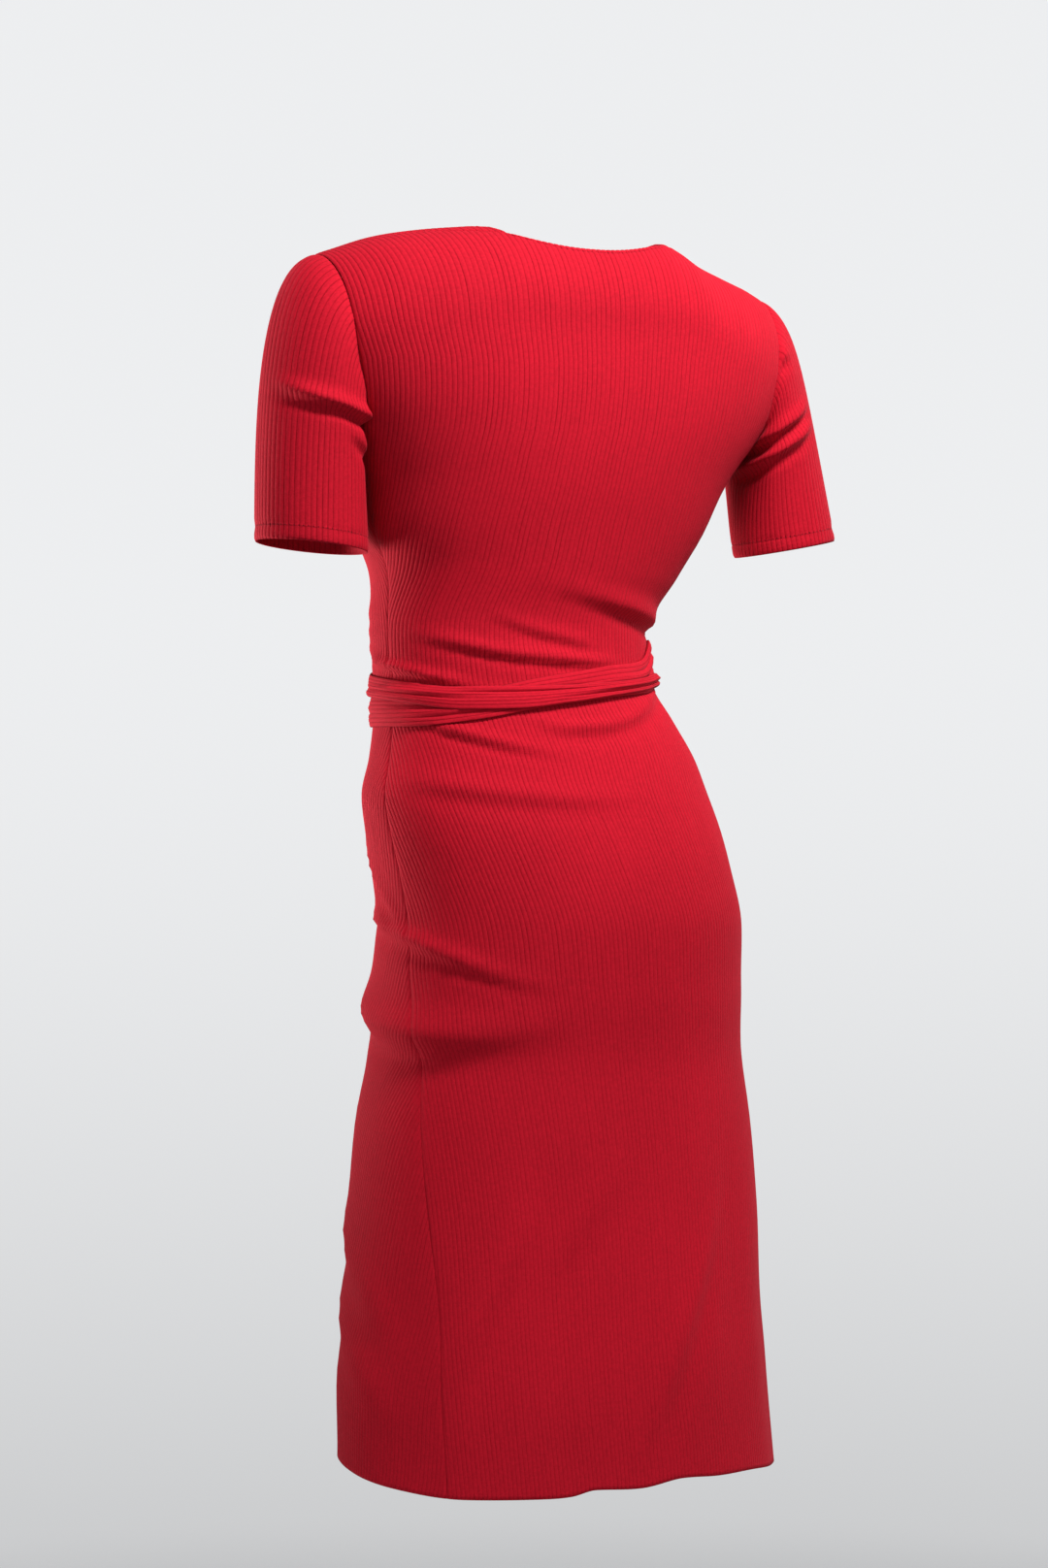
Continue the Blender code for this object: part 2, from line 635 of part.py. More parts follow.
def tie_out(kind, angle, z):
    """How far a tie's outer side stands off the form."""
    out = TIE_CLEAR + TIE_WALL + front_lift(angle)
    if kind == "over" and angle < 200.0:
        middle, half = tie_at(TIE_UNDER, angle - 360.0)
        inside = half - abs(z - middle)
        out += (TIE_WALL + 0.0013) * float(smooth_step(inside, -0.015, -0.003))
    return out


def tie_strip(name, kind, rows, start, end):
    """A stretch of tie along the form, from one angle to another."""
    steps = max(2, round(abs(end - start) / TIE_STEP))
    lines = []
    for across in TIE_ACROSS:
        line = []
        for i in range(steps + 1):
            angle = start + (end - start) * i / steps
            z, half = tie_at(rows, angle)
            level = z + half * across
            line.append(body_point(angle, level, tie_out(kind, angle, level)))
        lines.append(line)
    if end > start:
        lines = lines[::-1]
    return grid_object(name, lines, TIE_WALL)


def slit_strip():
    """The tie of the under front where it comes out through the slit, then runs round the back."""
    steps = list(SLIT_STEPS)
    steps += [(angle, None) for angle in np.arange(SLIT_STEPS[-1][0] - 7.0, -358.0, -TIE_STEP)]
    lines = []
    for across in TIE_ACROSS:
        line = []
        for angle, out in steps:
            z, half = tie_at(TIE_UNDER, angle)
            level = z + half * across
            stand = tie_out("under", angle, level) if out is None else out
            line.append(body_point(angle, level, stand))
        lines.append(line)
    return grid_object("tie_under_back", lines, TIE_WALL)


def knot():
    """A plain knot on the front."""
    bpy.ops.mesh.primitive_uv_sphere_add(segments=16, ring_count=10, radius=0.5)
    obj = bpy.context.object
    obj.name = "knot"
    centre = body_point(KNOT_ANGLE, KNOT_Z, OVERLAP_LIFT + 0.0012 + KNOT_SIZE[1] / 2)
    mesh = obj.data
    for vertex in mesh.vertices:
        vertex.co.x = vertex.co.x * KNOT_SIZE[0] + centre[0]
        vertex.co.y = vertex.co.y * KNOT_SIZE[1] + centre[1]
        vertex.co.z = vertex.co.z * KNOT_SIZE[2] + centre[2]
    mesh.shade_smooth()
    for user in list(obj.users_collection):
        user.objects.unlink(obj)
    return obj


def tie_end(kind):
    """A tie's free end, from under the knot down the front."""
    length = END_LENGTH[kind]
    side = -1.0 if kind == "over" else 1.0
    steps = 9
    rows = []
    for i in range(steps + 1):
        t = i / steps
        level = KNOT_Z - KNOT_SIZE[2] / 2 - 0.004 - length * t
        angle = KNOT_ANGLE + side * (4.0 + 5.0 * float(smooth_step(t, 0.0, 0.4)) + 3.0 * t)
        half = (0.006 + (END_HALF - 0.006) * float(smooth_step(t, 0.0, 0.35))) / 0.115
        spread = math.degrees(half)
        out = OVERLAP_LIFT + END_CLEAR + TIE_WALL
        row = [body_point(angle - spread * across, level, out) for across in TIE_ACROSS]
        rows.append(row)
    return grid_object("tie_end_" + kind, rows[::-1], TIE_WALL)


def material(name, colour, roughness):
    mat = bpy.data.materials.new(name)
    mat.use_nodes = True
    shader = mat.node_tree.nodes["Principled BSDF"]
    shader.inputs["Base Color"].default_value = colour
    shader.inputs["Roughness"].default_value = roughness
    shader.inputs["Metallic"].default_value = 0.0
    return mat


def build():
    for obj in list(bpy.data.objects):
        bpy.data.objects.remove(obj)
    home = bpy.data.collections.new("wrap_dress")
    bpy.context.scene.collection.children.link(home)
    pieces = [
        back_panel(),
        front_panel("under"),
        front_panel("over"),
        sleeve("left"),
        sleeve("right"),
        slit_strip(),
        tie_strip("tie_under_front", "under", TIE_UNDER, -360.3, TIE_UNDER[-1].angle),
        tie_strip("tie_over_back", "over", TIE_OVER, TIE_OVER[0].angle, 184.0),
        tie_strip("tie_over_front", "over", TIE_OVER, 184.3, TIE_OVER[-1].angle),
        knot(),
        tie_end("over"),
        tie_end("under"),
    ]
    for piece in pieces:
        home.objects.link(piece)
        piece.data.materials.append(material("jersey_" + piece.name, RED, 0.85))


build()
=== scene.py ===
"""Looks of the wrap dress: rib jersey panels, sleeves and ties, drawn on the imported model's form.

Metres, +Z up. The wearer faces -Y and their left side is +X. Angles are in degrees round the
body, from the wearer's left by the back. The form is that of the part, so every piece lies on
its own solid, but for a higher right shoulder, a leaning right sleeve, a waved back hem, bowed
neck edges, a shorter slit and a larger knot.
"""

import json
import math
from collections import namedtuple
from functools import partial

import bpy
import numpy as np
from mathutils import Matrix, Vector

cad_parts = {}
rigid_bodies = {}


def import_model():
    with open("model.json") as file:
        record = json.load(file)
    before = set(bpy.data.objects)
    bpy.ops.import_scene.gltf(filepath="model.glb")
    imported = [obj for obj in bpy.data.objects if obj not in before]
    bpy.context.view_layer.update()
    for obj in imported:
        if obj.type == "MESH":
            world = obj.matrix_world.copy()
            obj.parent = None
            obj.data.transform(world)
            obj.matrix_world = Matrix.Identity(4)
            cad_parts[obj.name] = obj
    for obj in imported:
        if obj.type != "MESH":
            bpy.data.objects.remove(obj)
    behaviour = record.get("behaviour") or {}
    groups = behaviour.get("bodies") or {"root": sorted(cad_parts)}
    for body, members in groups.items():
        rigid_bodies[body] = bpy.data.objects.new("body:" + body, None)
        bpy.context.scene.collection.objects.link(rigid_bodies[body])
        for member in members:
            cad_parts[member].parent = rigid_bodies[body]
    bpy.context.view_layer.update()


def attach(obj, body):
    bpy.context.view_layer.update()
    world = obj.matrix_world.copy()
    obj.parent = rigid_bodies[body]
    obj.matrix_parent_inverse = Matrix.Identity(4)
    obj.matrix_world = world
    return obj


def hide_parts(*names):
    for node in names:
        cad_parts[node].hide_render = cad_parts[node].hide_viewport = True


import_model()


def table(fields, *rows):
    """Rows of values whose columns have names."""
    row = namedtuple("Row", fields)
    return tuple(row(*values) for values in rows)


# Cloth
WALL = 0.0011  # jersey between its ribs
TIE_WALL = 0.0026  # a tie is two layers of jersey
TIE_SHELL, KNOT_SHELL = 0.8 * TIE_WALL, 0.5 * TIE_WALL  # cloth of the ties and of the knot
RIB_PITCH = 0.004
RIB_DEPTH = 0.0004
TIE_RIB_DEPTH = 0.8 * RIB_DEPTH
RIB_POINTS = (0.0, 0.22, 0.78)  # groove and both ends of the crown, as shares of the pitch
SEAM_GAP = 0.0003
SEAM_FLAT = 0.0005  # from a seam to the nearest column of the flat cloth
SEAM_FADE = 0.002  # the ribs rise to their height within this distance of a seam
SEAM_DIP, SEAM_DIP_WIDTH = 0.0004, 0.0013  # a seam pulls the cloth in
ALLOWANCE = 0.003  # sewn edges are turned in this far at the seam
STITCH_FROM_EDGE = 0.0046  # neck and front edges are turned and stitched this far in
STITCH_DIP, STITCH_WIDTH = 0.0008, 0.001
CUFF_STITCH = 0.0115  # from a cuff's edge to its stitching
EDGE_ROLL, EDGE_ROLL_WIDTH = 0.0009, 0.0016  # a turned edge rounds over
NO_STITCH = 0.9  # distance given where no stitching is near
STITCH_REACH = 0.05  # stitching counts its length only this near to an edge
ON_SEAM = 0.0001  # a column nearer than this lies on the seam itself
SKIRT_FLATTER, SKIRT_FADE = 0.4, (0.45, 0.75)  # ribs flatten by this share between these depths

SECTION_POWER = 2.15  # squareness of the rings
SHOULDER_ROLL = 0.08  # how far below the ridge the shoulder starts to round over
ROLL_END = 2.6  # radians of the roll at which the form stops, down the other side
NECK_BOW = 0.021  # the front neck edges curve out this far between bust and shoulder
OVERLAP_LIFT = 0.0032  # the over front lies this far outside the under front
OVER_START, OVER_END = (-172.0, -160.0), (-40.0, -34.0)  # angles where the over front starts and ends
TIE_CLEAR = 0.0009  # a tie lies this far off what is under it
TIE_CROWN, TIE_SQUARENESS, TIE_SUNK = 0.0022, 2.4, 0.0014  # height, power and drop of its section
CROSSING_CLEAR = 0.0008  # between the ties where the over tie lies on the other
CROSSING_FADE = (-0.01, -0.002)  # it is lifted between these distances in from the other's edge
CROSSING_END = 200.0  # it lies on the other at angles below this
END_CLEAR = 0.0036  # the free ends hang a little clear of the skirt
SLEEVE_LIFT = 0.0004  # a sleeve starts this far outside its armhole
SLEEVE_LEAN = {"left": 0.0, "right": 1.0}  # the right sleeve leans out and down
LEAN_REACH, LEAN_SLOPE = (-0.0046, 0.0024, -0.004), (-0.17, 0.09, 0.0)  # of its cuff
KNIT_ROW = 0.00115  # height of one row of knitting
STITCH_LENGTH = 0.0034
RELIEF = 0.00012  # height of the fine surface relief

# Rings of the form: height, centre, half width, depth behind and before the centre
RINGS = table(
    "z cx cy half back front",
    (-1.06, -0.004, 0.0, 0.1905, 0.143, 0.136),
    (-1.004, -0.003, 0.0, 0.1868, 0.139, 0.133),
    (-0.934, 0.0, 0.0, 0.1841, 0.135, 0.133),
    (-0.882, 0.0, 0.0, 0.1794, 0.131, 0.129),
    (-0.807, 0.0, 0.0, 0.176, 0.127, 0.122),
    (-0.732, 0.0, 0.0, 0.1693, 0.123, 0.114),
    (-0.68, -0.001, 0.0, 0.1605, 0.12, 0.105),
    (-0.624, -0.001, 0.002, 0.1585, 0.122, 0.101),
    (-0.574, -0.003, 0.002, 0.156, 0.124, 0.097),
    (-0.528, 0.003, 0.0, 0.1535, 0.12, 0.096),
    (-0.496, 0.009, -0.002, 0.1522, 0.114, 0.095),
    (-0.466, 0.014, -0.006, 0.1482, 0.108, 0.096),
    (-0.436, 0.015, -0.01, 0.1395, 0.1, 0.088),
    (-0.406, 0.02, -0.014, 0.1285, 0.091, 0.088),
    (-0.375, 0.027, -0.018, 0.119, 0.083, 0.088),
    (-0.334, 0.03, -0.019, 0.118, 0.082, 0.092),
    (-0.286, 0.017, -0.016, 0.132, 0.09, 0.104),
    (-0.252, 0.013, -0.012, 0.149, 0.094, 0.12),
    (-0.213, 0.008, -0.006, 0.1614, 0.097, 0.127),
    (-0.195, 0.006, -0.003, 0.1706, 0.097, 0.124),
    (-0.178, 0.003, -0.001, 0.181, 0.097, 0.119),
    (-0.153, 0.001, 0.001, 0.196, 0.097, 0.118),
    (-0.12, 0.0, 0.002, 0.209, 0.096, 0.114),
    (-0.09, 0.0, 0.002, 0.2165, 0.094, 0.112),
)

# Seams round the body
SEAM_ROWS = table(
    "z left right",
    (-1.06, 41.0, 206.0),
    (-0.88, 38.0, 203.0),
    (-0.785, 32.0, 200.0),
    (-0.69, 25.0, 197.0),
    (-0.59, 15.0, 191.0),
    (-0.5, 11.0, 186.0),
    (-0.36, 8.0, 183.0),
    (-0.25, 4.0, 181.0),
    (-0.178, 0.0, 180.0),
)

# Shoulder ridge from the wearer's right to the left
RIDGE = table(
    "x z y",
    (-0.23, -0.064, -0.028),
    (-0.202, -0.0465, -0.023),
    (-0.179, -0.0385, -0.017),
    (-0.15, -0.031, -0.011),
    (-0.119, -0.0225, -0.002),
    (-0.09, -0.01, 0.006),
    (-0.06, -0.005, 0.01),
    (0.06, -0.0045, 0.01),
    (0.076, -0.006, 0.01),
    (0.132, -0.0118, -0.005),
    (0.163, -0.018, -0.012),
    (0.191, -0.0278, -0.02),
    (0.2035, -0.0325, -0.024),
    (0.23, -0.048, -0.028),
)
BELT_AT_KNOT = (-0.39, -0.37)  # heights that are held in where no tie runs
BELT_FADE = (-0.003, 0.004)  # folds rise to their height between these distances from the ties
SEAM_BEHIND_RIDGE = 28.0  # degrees of the roll between ridge and shoulder seam at the neck
NECK_BEHIND_RIDGE = 43.0  # degrees of the roll between ridge and neck edge at the centre back

# Half widths to the armhole seam by height, for each side
ARMHOLE = table(
    "z left right",
    (-0.178, 0.184, -0.178),
    (-0.165, 0.184, -0.18),
    (-0.15, 0.186, -0.181),
    (-0.12, 0.194, -0.184),
    (-0.09, 0.1985, -0.189),
    (-0.06, 0.201, -0.195),
    (-0.0325, 0.2035, -0.202),
)
ARMPIT_Z = -0.178
TIP_X = {"left": 0.2035, "right": -0.202}
NECK_X = {"left": 0.067, "right": -0.08}

# Hem height by angle round the body
HEM = table(
    "angle z",
    (-180.0, -1.024),
    (-90.0, -1.01),
    (-20.0, -1.003),
    (22.0, -1.0145),
    (46.0, -1.019),
    (66.0, -1.019),
    (74.0, -1.018),
    (80.0, -1.014),
    (90.0, -1.0155),
    (101.0, -1.011),
    (113.0, -1.0135),
    (128.0, -1.015),
    (144.0, -1.019),
    (180.0, -1.024),
)

# Leading edges of the fronts: angle round the body by height
EDGES = table(
    "z under over",
    (-1.06, -128.0, -52.0),
    (-0.8, -130.0, -50.0),
    (-0.6, -134.0, -47.0),
    (-0.44, -150.0, -43.0),
    (-0.395, -160.0, -40.0),
    (-0.36, -158.0, -42.0),
    (-0.3, -124.0, -60.0),
    (-0.25, -106.0, -75.0),
    (-0.2, -91.0, -89.0),
    (-0.16, -83.0, -97.0),
    (-0.12, -77.5, -102.5),
)
NECK_RISE_Z = -0.12  # above this the front edges run up to the neck points

# Folds across the body. Each runs from one angle to another at the listed heights, evenly spaced:
# a ridge, gentle above and steep below, over a trough of the width `under`. `head` and `tail` are
# the shares of its length over which it rises and dies away.
FOLD = "start end heights width ridge trough under head tail"
RIDGE_ABOVE, RIDGE_BELOW = 1.2, 0.7  # reach of a ridge either side of its line, in widths
FOLDS = table(
    FOLD,
    # bodice, above the ties
    (74, 200, (-0.294, -0.308, -0.318, -0.325, -0.326), 0.007, 0.0048, 0.0018, 0.005, 0.45, 0.25),
    (16, 124, (-0.334, -0.343, -0.353, -0.358, -0.361), 0.005, 0.0037, 0.0018, 0.0034, 0.45, 0.2),
    (58, 114, (-0.318, -0.331, -0.341, -0.35), 0.005, 0.0018, 0.0016, 0.004, 0.45, 0.4),
    (-18, 64, (-0.355, -0.3635, -0.373, -0.383), 0.0038, 0.0044, 0.0022, 0.0032, 0.2, 0.35),
    (-64, 8, (-0.3, -0.316, -0.324), 0.007, 0.0011, 0.0006, 0.004, 0.3, 0.35),
    (-60, 10, (-0.318, -0.331, -0.338), 0.007, 0.0009, 0.0007, 0.004, 0.3, 0.35),
    (-66, 10, (-0.334, -0.345, -0.352), 0.007, 0.0011, 0.0007, 0.004, 0.3, 0.4),
    (-160, -96, (-0.3, -0.29, -0.27), 0.014, 0.003, 0.0016, 0.012, 0.3, 0.5),
    (-158, -104, (-0.352, -0.338, -0.326), 0.008, 0.0026, 0.0016, 0.006, 0.3, 0.5),
    (-112, -40, (-0.262, -0.285, -0.31), 0.014, 0.003, 0.0016, 0.012, 0.5, 0.3),
    (-100, -36, (-0.35, -0.338, -0.326), 0.008, 0.0024, 0.0016, 0.006, 0.5, 0.3),
    # skirt, under the ties
    (24, 88, (-0.405, -0.417, -0.428, -0.436), 0.005, 0.0038, 0.0016, 0.0036, 0.3, 0.5),
    (68, 160, (-0.403, -0.4135, -0.409, -0.398, -0.385, -0.375), 0.0054, 0.0044, 0.0016, 0.0056, 0.3, 0.15),
    (78, 158, (-0.4, -0.402, -0.394, -0.382, -0.371), 0.0032, 0.0, 0.0018, 0.0036, 0.35, 0.2),
    (12, 114, (-0.452, -0.459, -0.466, -0.47, -0.466), 0.008, 0.0024, 0.0014, 0.007, 0.35, 0.4),
    (-24, 14, (-0.498, -0.526, -0.552, -0.578), 0.006, 0.0022, 0.0014, 0.005, 0.3, 0.3),
    (-30, 80, (-0.5587, -0.5694, -0.5815, -0.5966, -0.613, -0.622), 0.0058, 0.005, 0.002, 0.005, 0.25, 0.5),
    (-44, 84, (-0.62, -0.638, -0.653, -0.6575, -0.654, -0.642), 0.015, 0.008, 0.0014, 0.012, 0.25, 0.45),
    (-24, 44, (-0.646, -0.664, -0.674), 0.008, 0.0014, 0.0014, 0.007, 0.35, 0.45),
    (-40, 34, (-0.79, -0.82, -0.868, -0.93), 0.017, 0.003, 0.0012, 0.014, 0.35, 0.4),
    (-44, 30, (-0.848, -0.878, -0.922, -0.974), 0.017, 0.003, 0.0012, 0.014, 0.35, 0.4),
    (38, 70, (-0.935, -0.892, -0.83, -0.78), 0.02, 0.0026, 0.0018, 0.018, 0.4, 0.4),
    (86, 126, (-0.985, -0.945, -0.89, -0.832, -0.78), 0.022, 0.003, 0.0022, 0.02, 0.4, 0.4),
    (64, 96, (-0.86, -0.8, -0.745), 0.018, 0.0018, 0.0012, 0.016, 0.4, 0.4),
    (-166, -98, (-0.436, -0.452, -0.486), 0.012, 0.0034, 0.002, 0.01, 0.4, 0.45),
    (-84, -26, (-0.43, -0.452, -0.486), 0.011, 0.0034, 0.002, 0.01, 0.4, 0.4),
    (-168, -62, (-0.47, -0.505, -0.545), 0.018, 0.004, 0.0022, 0.014, 0.4, 0.45),
    (-150, -50, (-0.56, -0.6, -0.65), 0.024, 0.0038, 0.002, 0.018, 0.4, 0.45),
)

# Soft vertical waves of the skirt: angle, heights between which it shows, width in degrees
DOWN_FOLDS = table(
    "angle top bottom width height",
    (72, -0.72, -1.0, 9, -0.003),
    (126, -0.69, -0.96, 10, -0.003),
    (150, -0.8, -1.06, 9, -0.0025),
    (100, -0.78, -1.06, 12, 0.0025),
    (45, -0.8, -1.06, 10, 0.0025),
    (8, -0.78, -1.06, 13, 0.003),
    (-30, -0.7, -1.06, 12, -0.003),
    (-75, -0.52, -1.06, 12, 0.0035),
    (-105, -0.6, -1.06, 10, -0.0035),
    (-138, -0.56, -1.06, 12, 0.0035),
)

# Sleeves: cuff centre, radius, heights of its outer and inner edge
Sleeve = namedtuple("Sleeve", "cx cy radius outer_z inner_z reach")
SLEEVES = {
    "left": Sleeve(0.2128, -0.01, 0.0453, -0.264, -0.2735, 0.032),
    "right": Sleeve(-0.218, -0.004, 0.0428, -0.2465, -0.263, 0.018),
}

# Ties: middle height, half width by angle, in the order that each runs
TIE = "angle z half"
TIE_UNDER = table(
    TIE,
    (-164, -0.372, 0.015),
    (-176, -0.366, 0.0155),
    (-184, -0.357, 0.018),
    (-200, -0.357, 0.0185),
    (-222, -0.37, 0.014),
    (-250, -0.376, 0.013),
    (-280, -0.386, 0.012),
    (-305, -0.396, 0.0115),
    (-335, -0.401, 0.012),
    (-360, -0.4, 0.0125),
    (-388, -0.399, 0.013),
    (-420, -0.396, 0.013),
    (-443, -0.392, 0.0115),
)
TIE_OVER = table(
    TIE,
    (-39.3, -0.374, 0.0095),
    (-10, -0.379, 0.009),
    (20, -0.385, 0.0092),
    (50, -0.391, 0.0098),
    (72, -0.3905, 0.0095),
    (90, -0.3875, 0.0075),
    (105, -0.384, 0.0062),
    (130, -0.3785, 0.0056),
    (155, -0.373, 0.0056),
    (180, -0.374, 0.008),
    (215, -0.382, 0.012),
    (242, -0.388, 0.0125),
    (256, -0.39, 0.0115),
)
UNDER_JOIN, OVER_JOIN = -360.0, 184.0  # the two stretches of each tie meet at these angles
SLIT = (-0.385, -0.341)  # lower and upper end of the opening in the right side seam
SLIT_HALF_DEGREES = 1.8

# How the tie comes out through the slit: angle, and how far its outer side stands off the form
SLIT_STEPS = ((-164.0, -0.0004), (-169.0, -0.0022), (-174.6, -0.0022), (-179.2, 0.0039), (-186.0, 0.0044))

KNOT_ANGLE = -93.0
KNOT_Z = -0.391
KNOT_SIZE = (0.051, 0.02, 0.034)
KNOT_CLEAR = 0.0012
KNOT_COLUMNS, KNOT_ROWS = 72, 40

# The knot's band and gathers, in shares of its size
BAND_ACROSS, BAND_UP = 0.86, 0.5  # the band is wound round this slanting axis
BAND_RISE, BAND_START, BAND_END = 0.1, (-0.52, -0.4), (0.36, 0.48)
BAND_MIDDLE, BAND_HALF = -0.02, 0.46
GATHER_DEPTH, GATHERS = 0.02, 4.5
KNOT_BODY, DENT_DEPTH, DENT_WIDTH = 0.9, 0.1, 0.25
KNOT_DENTS = ((-0.55, 0.2), (0.52, -0.2))  # along the axis and up

# Free ends of the ties
END_LENGTH = {"over": 0.3, "under": 0.265}
END_HALF, END_TOP_HALF = 0.0145, 0.006  # half width low down, and where it leaves the knot
END_START = 0.004  # from the knot down to the end's first row
END_RADIUS = 0.115  # of the form under them
END_ROWS = 46
END_HEM, END_HEM_DEPTH, END_HEM_WIDTH = 0.009, 0.0006, 0.0016

# Angle of each panel's grain line by height, which the ribs run along, and how far they stretch
GRAIN = table(
    "z back front stretch",
    (-1.06, 100.0, -90.0, 0.85),
    (-0.9, 99.5, -90.0, 0.865),
    (-0.8, 99.0, -90.0, 0.88),
    (-0.69, 97.0, -90.0, 0.92),
    (-0.59, 93.0, -90.0, 0.97),
    (-0.5, 89.0, -90.0, 0.99),
    (-0.4, 86.0, -90.0, 1.0),
    (-0.3, 87.0, -90.0, 1.01),
    (-0.178, 89.0, -90.0, 1.02),
    (-0.1, 89.5, -90.0, 1.07),
    (0.06, 90.0, -90.0, 1.15),
)

# Rows of a sleeve as shares from its cuff to its seam, close together at the two ends
SLEEVE_ROWS = (
    (0.0, 0.006, 0.014, 0.03, 0.048, 0.062, 0.072, 0.082, 0.096)
    + tuple(0.12 + 0.84 * i / 60 for i in range(61))
    + (0.972, 0.982, 0.991, 0.9985, 1.0)
)
SLEEVE_LEAVE = 0.012  # a sleeve runs on this far from the armpit, and `reach` further at its top
CUFF_RISE, CUFF_RISE_TOP = 0.03, 0.105  # it stands straight over the cuff this far, more at its top
SLEEVE_FADE = (-0.001, 0.006)  # relief rises to its height between these distances from the seam

# Creases of the sleeves, at angles round the arm from the body's side by the back
SLEEVE_FOLDS = {
    "left": table(
        FOLD,
        (0, 178, (-0.172, -0.163, -0.151, -0.134), 0.0055, 0.006, 0.0036, 0.004, 0.15, 0.45),
        (84, 170, (-0.163, -0.155, -0.146), 0.0035, 0.0018, 0.0022, 0.0035, 0.4, 0.5),
        (10, 80, (-0.198, -0.188, -0.178), 0.006, 0.0022, 0.002, 0.005, 0.3, 0.5),
        (200, 340, (-0.15, -0.165, -0.182), 0.009, 0.004, 0.0034, 0.007, 0.4, 0.3),
    ),
    "right": table(
        FOLD,
        (14, 116, (-0.16, -0.14, -0.106, -0.094), 0.0055, 0.0048, 0.003, 0.0045, 0.2, 0.4),
        (-20, 140, (-0.177, -0.17, -0.152, -0.13), 0.0055, 0.0052, 0.0032, 0.0045, 0.2, 0.35),
        (-22, 144, (-0.196, -0.187, -0.169, -0.145), 0.006, 0.0052, 0.003, 0.005, 0.2, 0.35),
        (196, 340, (-0.148, -0.166, -0.186), 0.009, 0.004, 0.0034, 0.007, 0.4, 0.3),
    ),
}

# Lengthwise pleats of a tie: the angles between which it shows, place across from -1 to 1, width
PLEAT = "start end from_across to_across width depth"
PLEATS = {
    "under": table(
        PLEAT,
        (-352, -262, 0.45, 0.05, 0.2, 0.0024),
        (-268, -184, -0.35, -0.05, 0.2, 0.0026),
        (-340, -285, -0.35, -0.55, 0.16, 0.0016),
        (-236, -182, 0.4, 0.5, 0.16, 0.0014),
        (-440, -366, 0.2, -0.1, 0.18, 0.0018),
    ),
    "over": table(
        PLEAT,
        (-34, 62, -0.3, 0.0, 0.18, 0.0018),
        (88, 172, -0.5, -0.1, 0.24, 0.003),
        (46, 104, 0.45, 0.3, 0.16, 0.0018),
        (190, 250, 0.1, -0.15, 0.18, 0.0016),
    ),
}

# Rows of the panels: each run ends at a height and has a number of steps
ROW_RUNS = table(
    "to steps",
    (-1.0, 4),
    (-0.7, 21),
    (-0.545, 28),
    (-0.48, 8),
    (-0.27, 62),
    (-0.178, 9),
)
HEM_START = -1.014
NECK_RISES = (1.943, 1.954, 1.964, 1.972, 1.98, 1.988, 1.995, 1.9985, 2.0)
UPPER_RISES = tuple(1.0 + 0.93 * i / 19 for i in range(20)) + NECK_RISES
ROW_SAMPLES = 420  # places across a row at which its length is measured
GIRTH_STEP = 0.004  # between the levels at which lengths round the body are measured
GIRTH_TOP = -0.12  # lengths round the body are the same at every level above this
TIE_RIBS = 7
TIE_ROW_DEGREES = 1.6
TIE_END_DEGREES = 0.1
SLEEVE_RIBS = 63

# Light and view
VIEW_DEGREES = 27.0  # the camera looks from behind and this far round to the wearer's left
VIEW_DISTANCE = 3.05
VIEW_SHIFT = -0.024
VIEW_HEIGHT = -0.4584
LENS, SENSOR = 85.0, 36.0
FLOOR_Z = -1.42
RED = (0.4, 0.0056, 0.0165, 1.0)
# painted shade: the darker red of the rib grooves, where shade falls between the crowns
GROOVE_SHADE_RED = (0.225, 0.0019, 0.0065, 1.0)

# Soft lights: place to the picture's right, toward the camera and up, size and power
LIGHTS = table(
    "name right toward up size power spread aim",
    ("key", 0.75, 0.95, 1.25, 0.55, 16.3, 85.0, -0.12),
    ("fill", -1.0, 1.4, 0.3, 1.0, 0.3, 90.0, -0.3),
    ("rim_right", 1.7, -1.1, 0.4, 0.9, 1.6, 60.0, -0.25),
    ("rim_left", -1.5, -0.6, -0.6, 0.6, 4.5, 50.0, -0.2),
)


def curve_through(at, xs, ys):
    """Smooth curve through the points (xs, ys), xs rising, that keeps within each pair of points."""
    xs = np.asarray(xs, float)
    ys = np.asarray(ys, float)
    step = np.diff(xs)
    slope = np.diff(ys) / step
    tangent = np.concatenate([slope[:1], 0.5 * (slope[:-1] + slope[1:]), slope[-1:]])
    turns = slope[:-1] * slope[1:] <= 0
    tangent[1:-1][turns] = 0.0
    limit = 3.0 * np.minimum(np.abs(slope[:-1]), np.abs(slope[1:]))
    tangent[1:-1] = np.clip(tangent[1:-1], -limit, limit)
    at = np.clip(np.asarray(at, float), xs[0], xs[-1])
    i = np.clip(np.searchsorted(xs, at) - 1, 0, len(step) - 1)
    t = (at - xs[i]) / step[i]
    square, cube = t * t, t * t * t
    start = (2 * cube - 3 * square + 1) * ys[i] + (cube - 2 * square + t) * step[i] * tangent[i]
    end = (3 * square - 2 * cube) * ys[i + 1] + (cube - square) * step[i] * tangent[i + 1]
    return start + end


def column(rows, at, name, key):
    """Column `name` of a table, read at `at` of column `key`."""
    return curve_through(at, [getattr(r, key) for r in rows], [getattr(r, name) for r in rows])


def bell(distance, width):
    return np.exp(-((np.asarray(distance) / width) ** 2))


def lengths_along(line):
    """Length along a line of points from its first point to each."""
    return np.concatenate([[0.0], np.cumsum(np.linalg.norm(np.diff(line, axis=0), axis=1))])


def smooth_step(value, low, high):
    t = np.clip((np.asarray(value, float) - low) / (high - low), 0.0, 1.0)
    return t * t * (3.0 - 2.0 * t)


def full_turn(phi):
    """Angle in degrees between -180 and 180."""
    return (np.asarray(phi, float) + 180.0) % 360.0 - 180.0


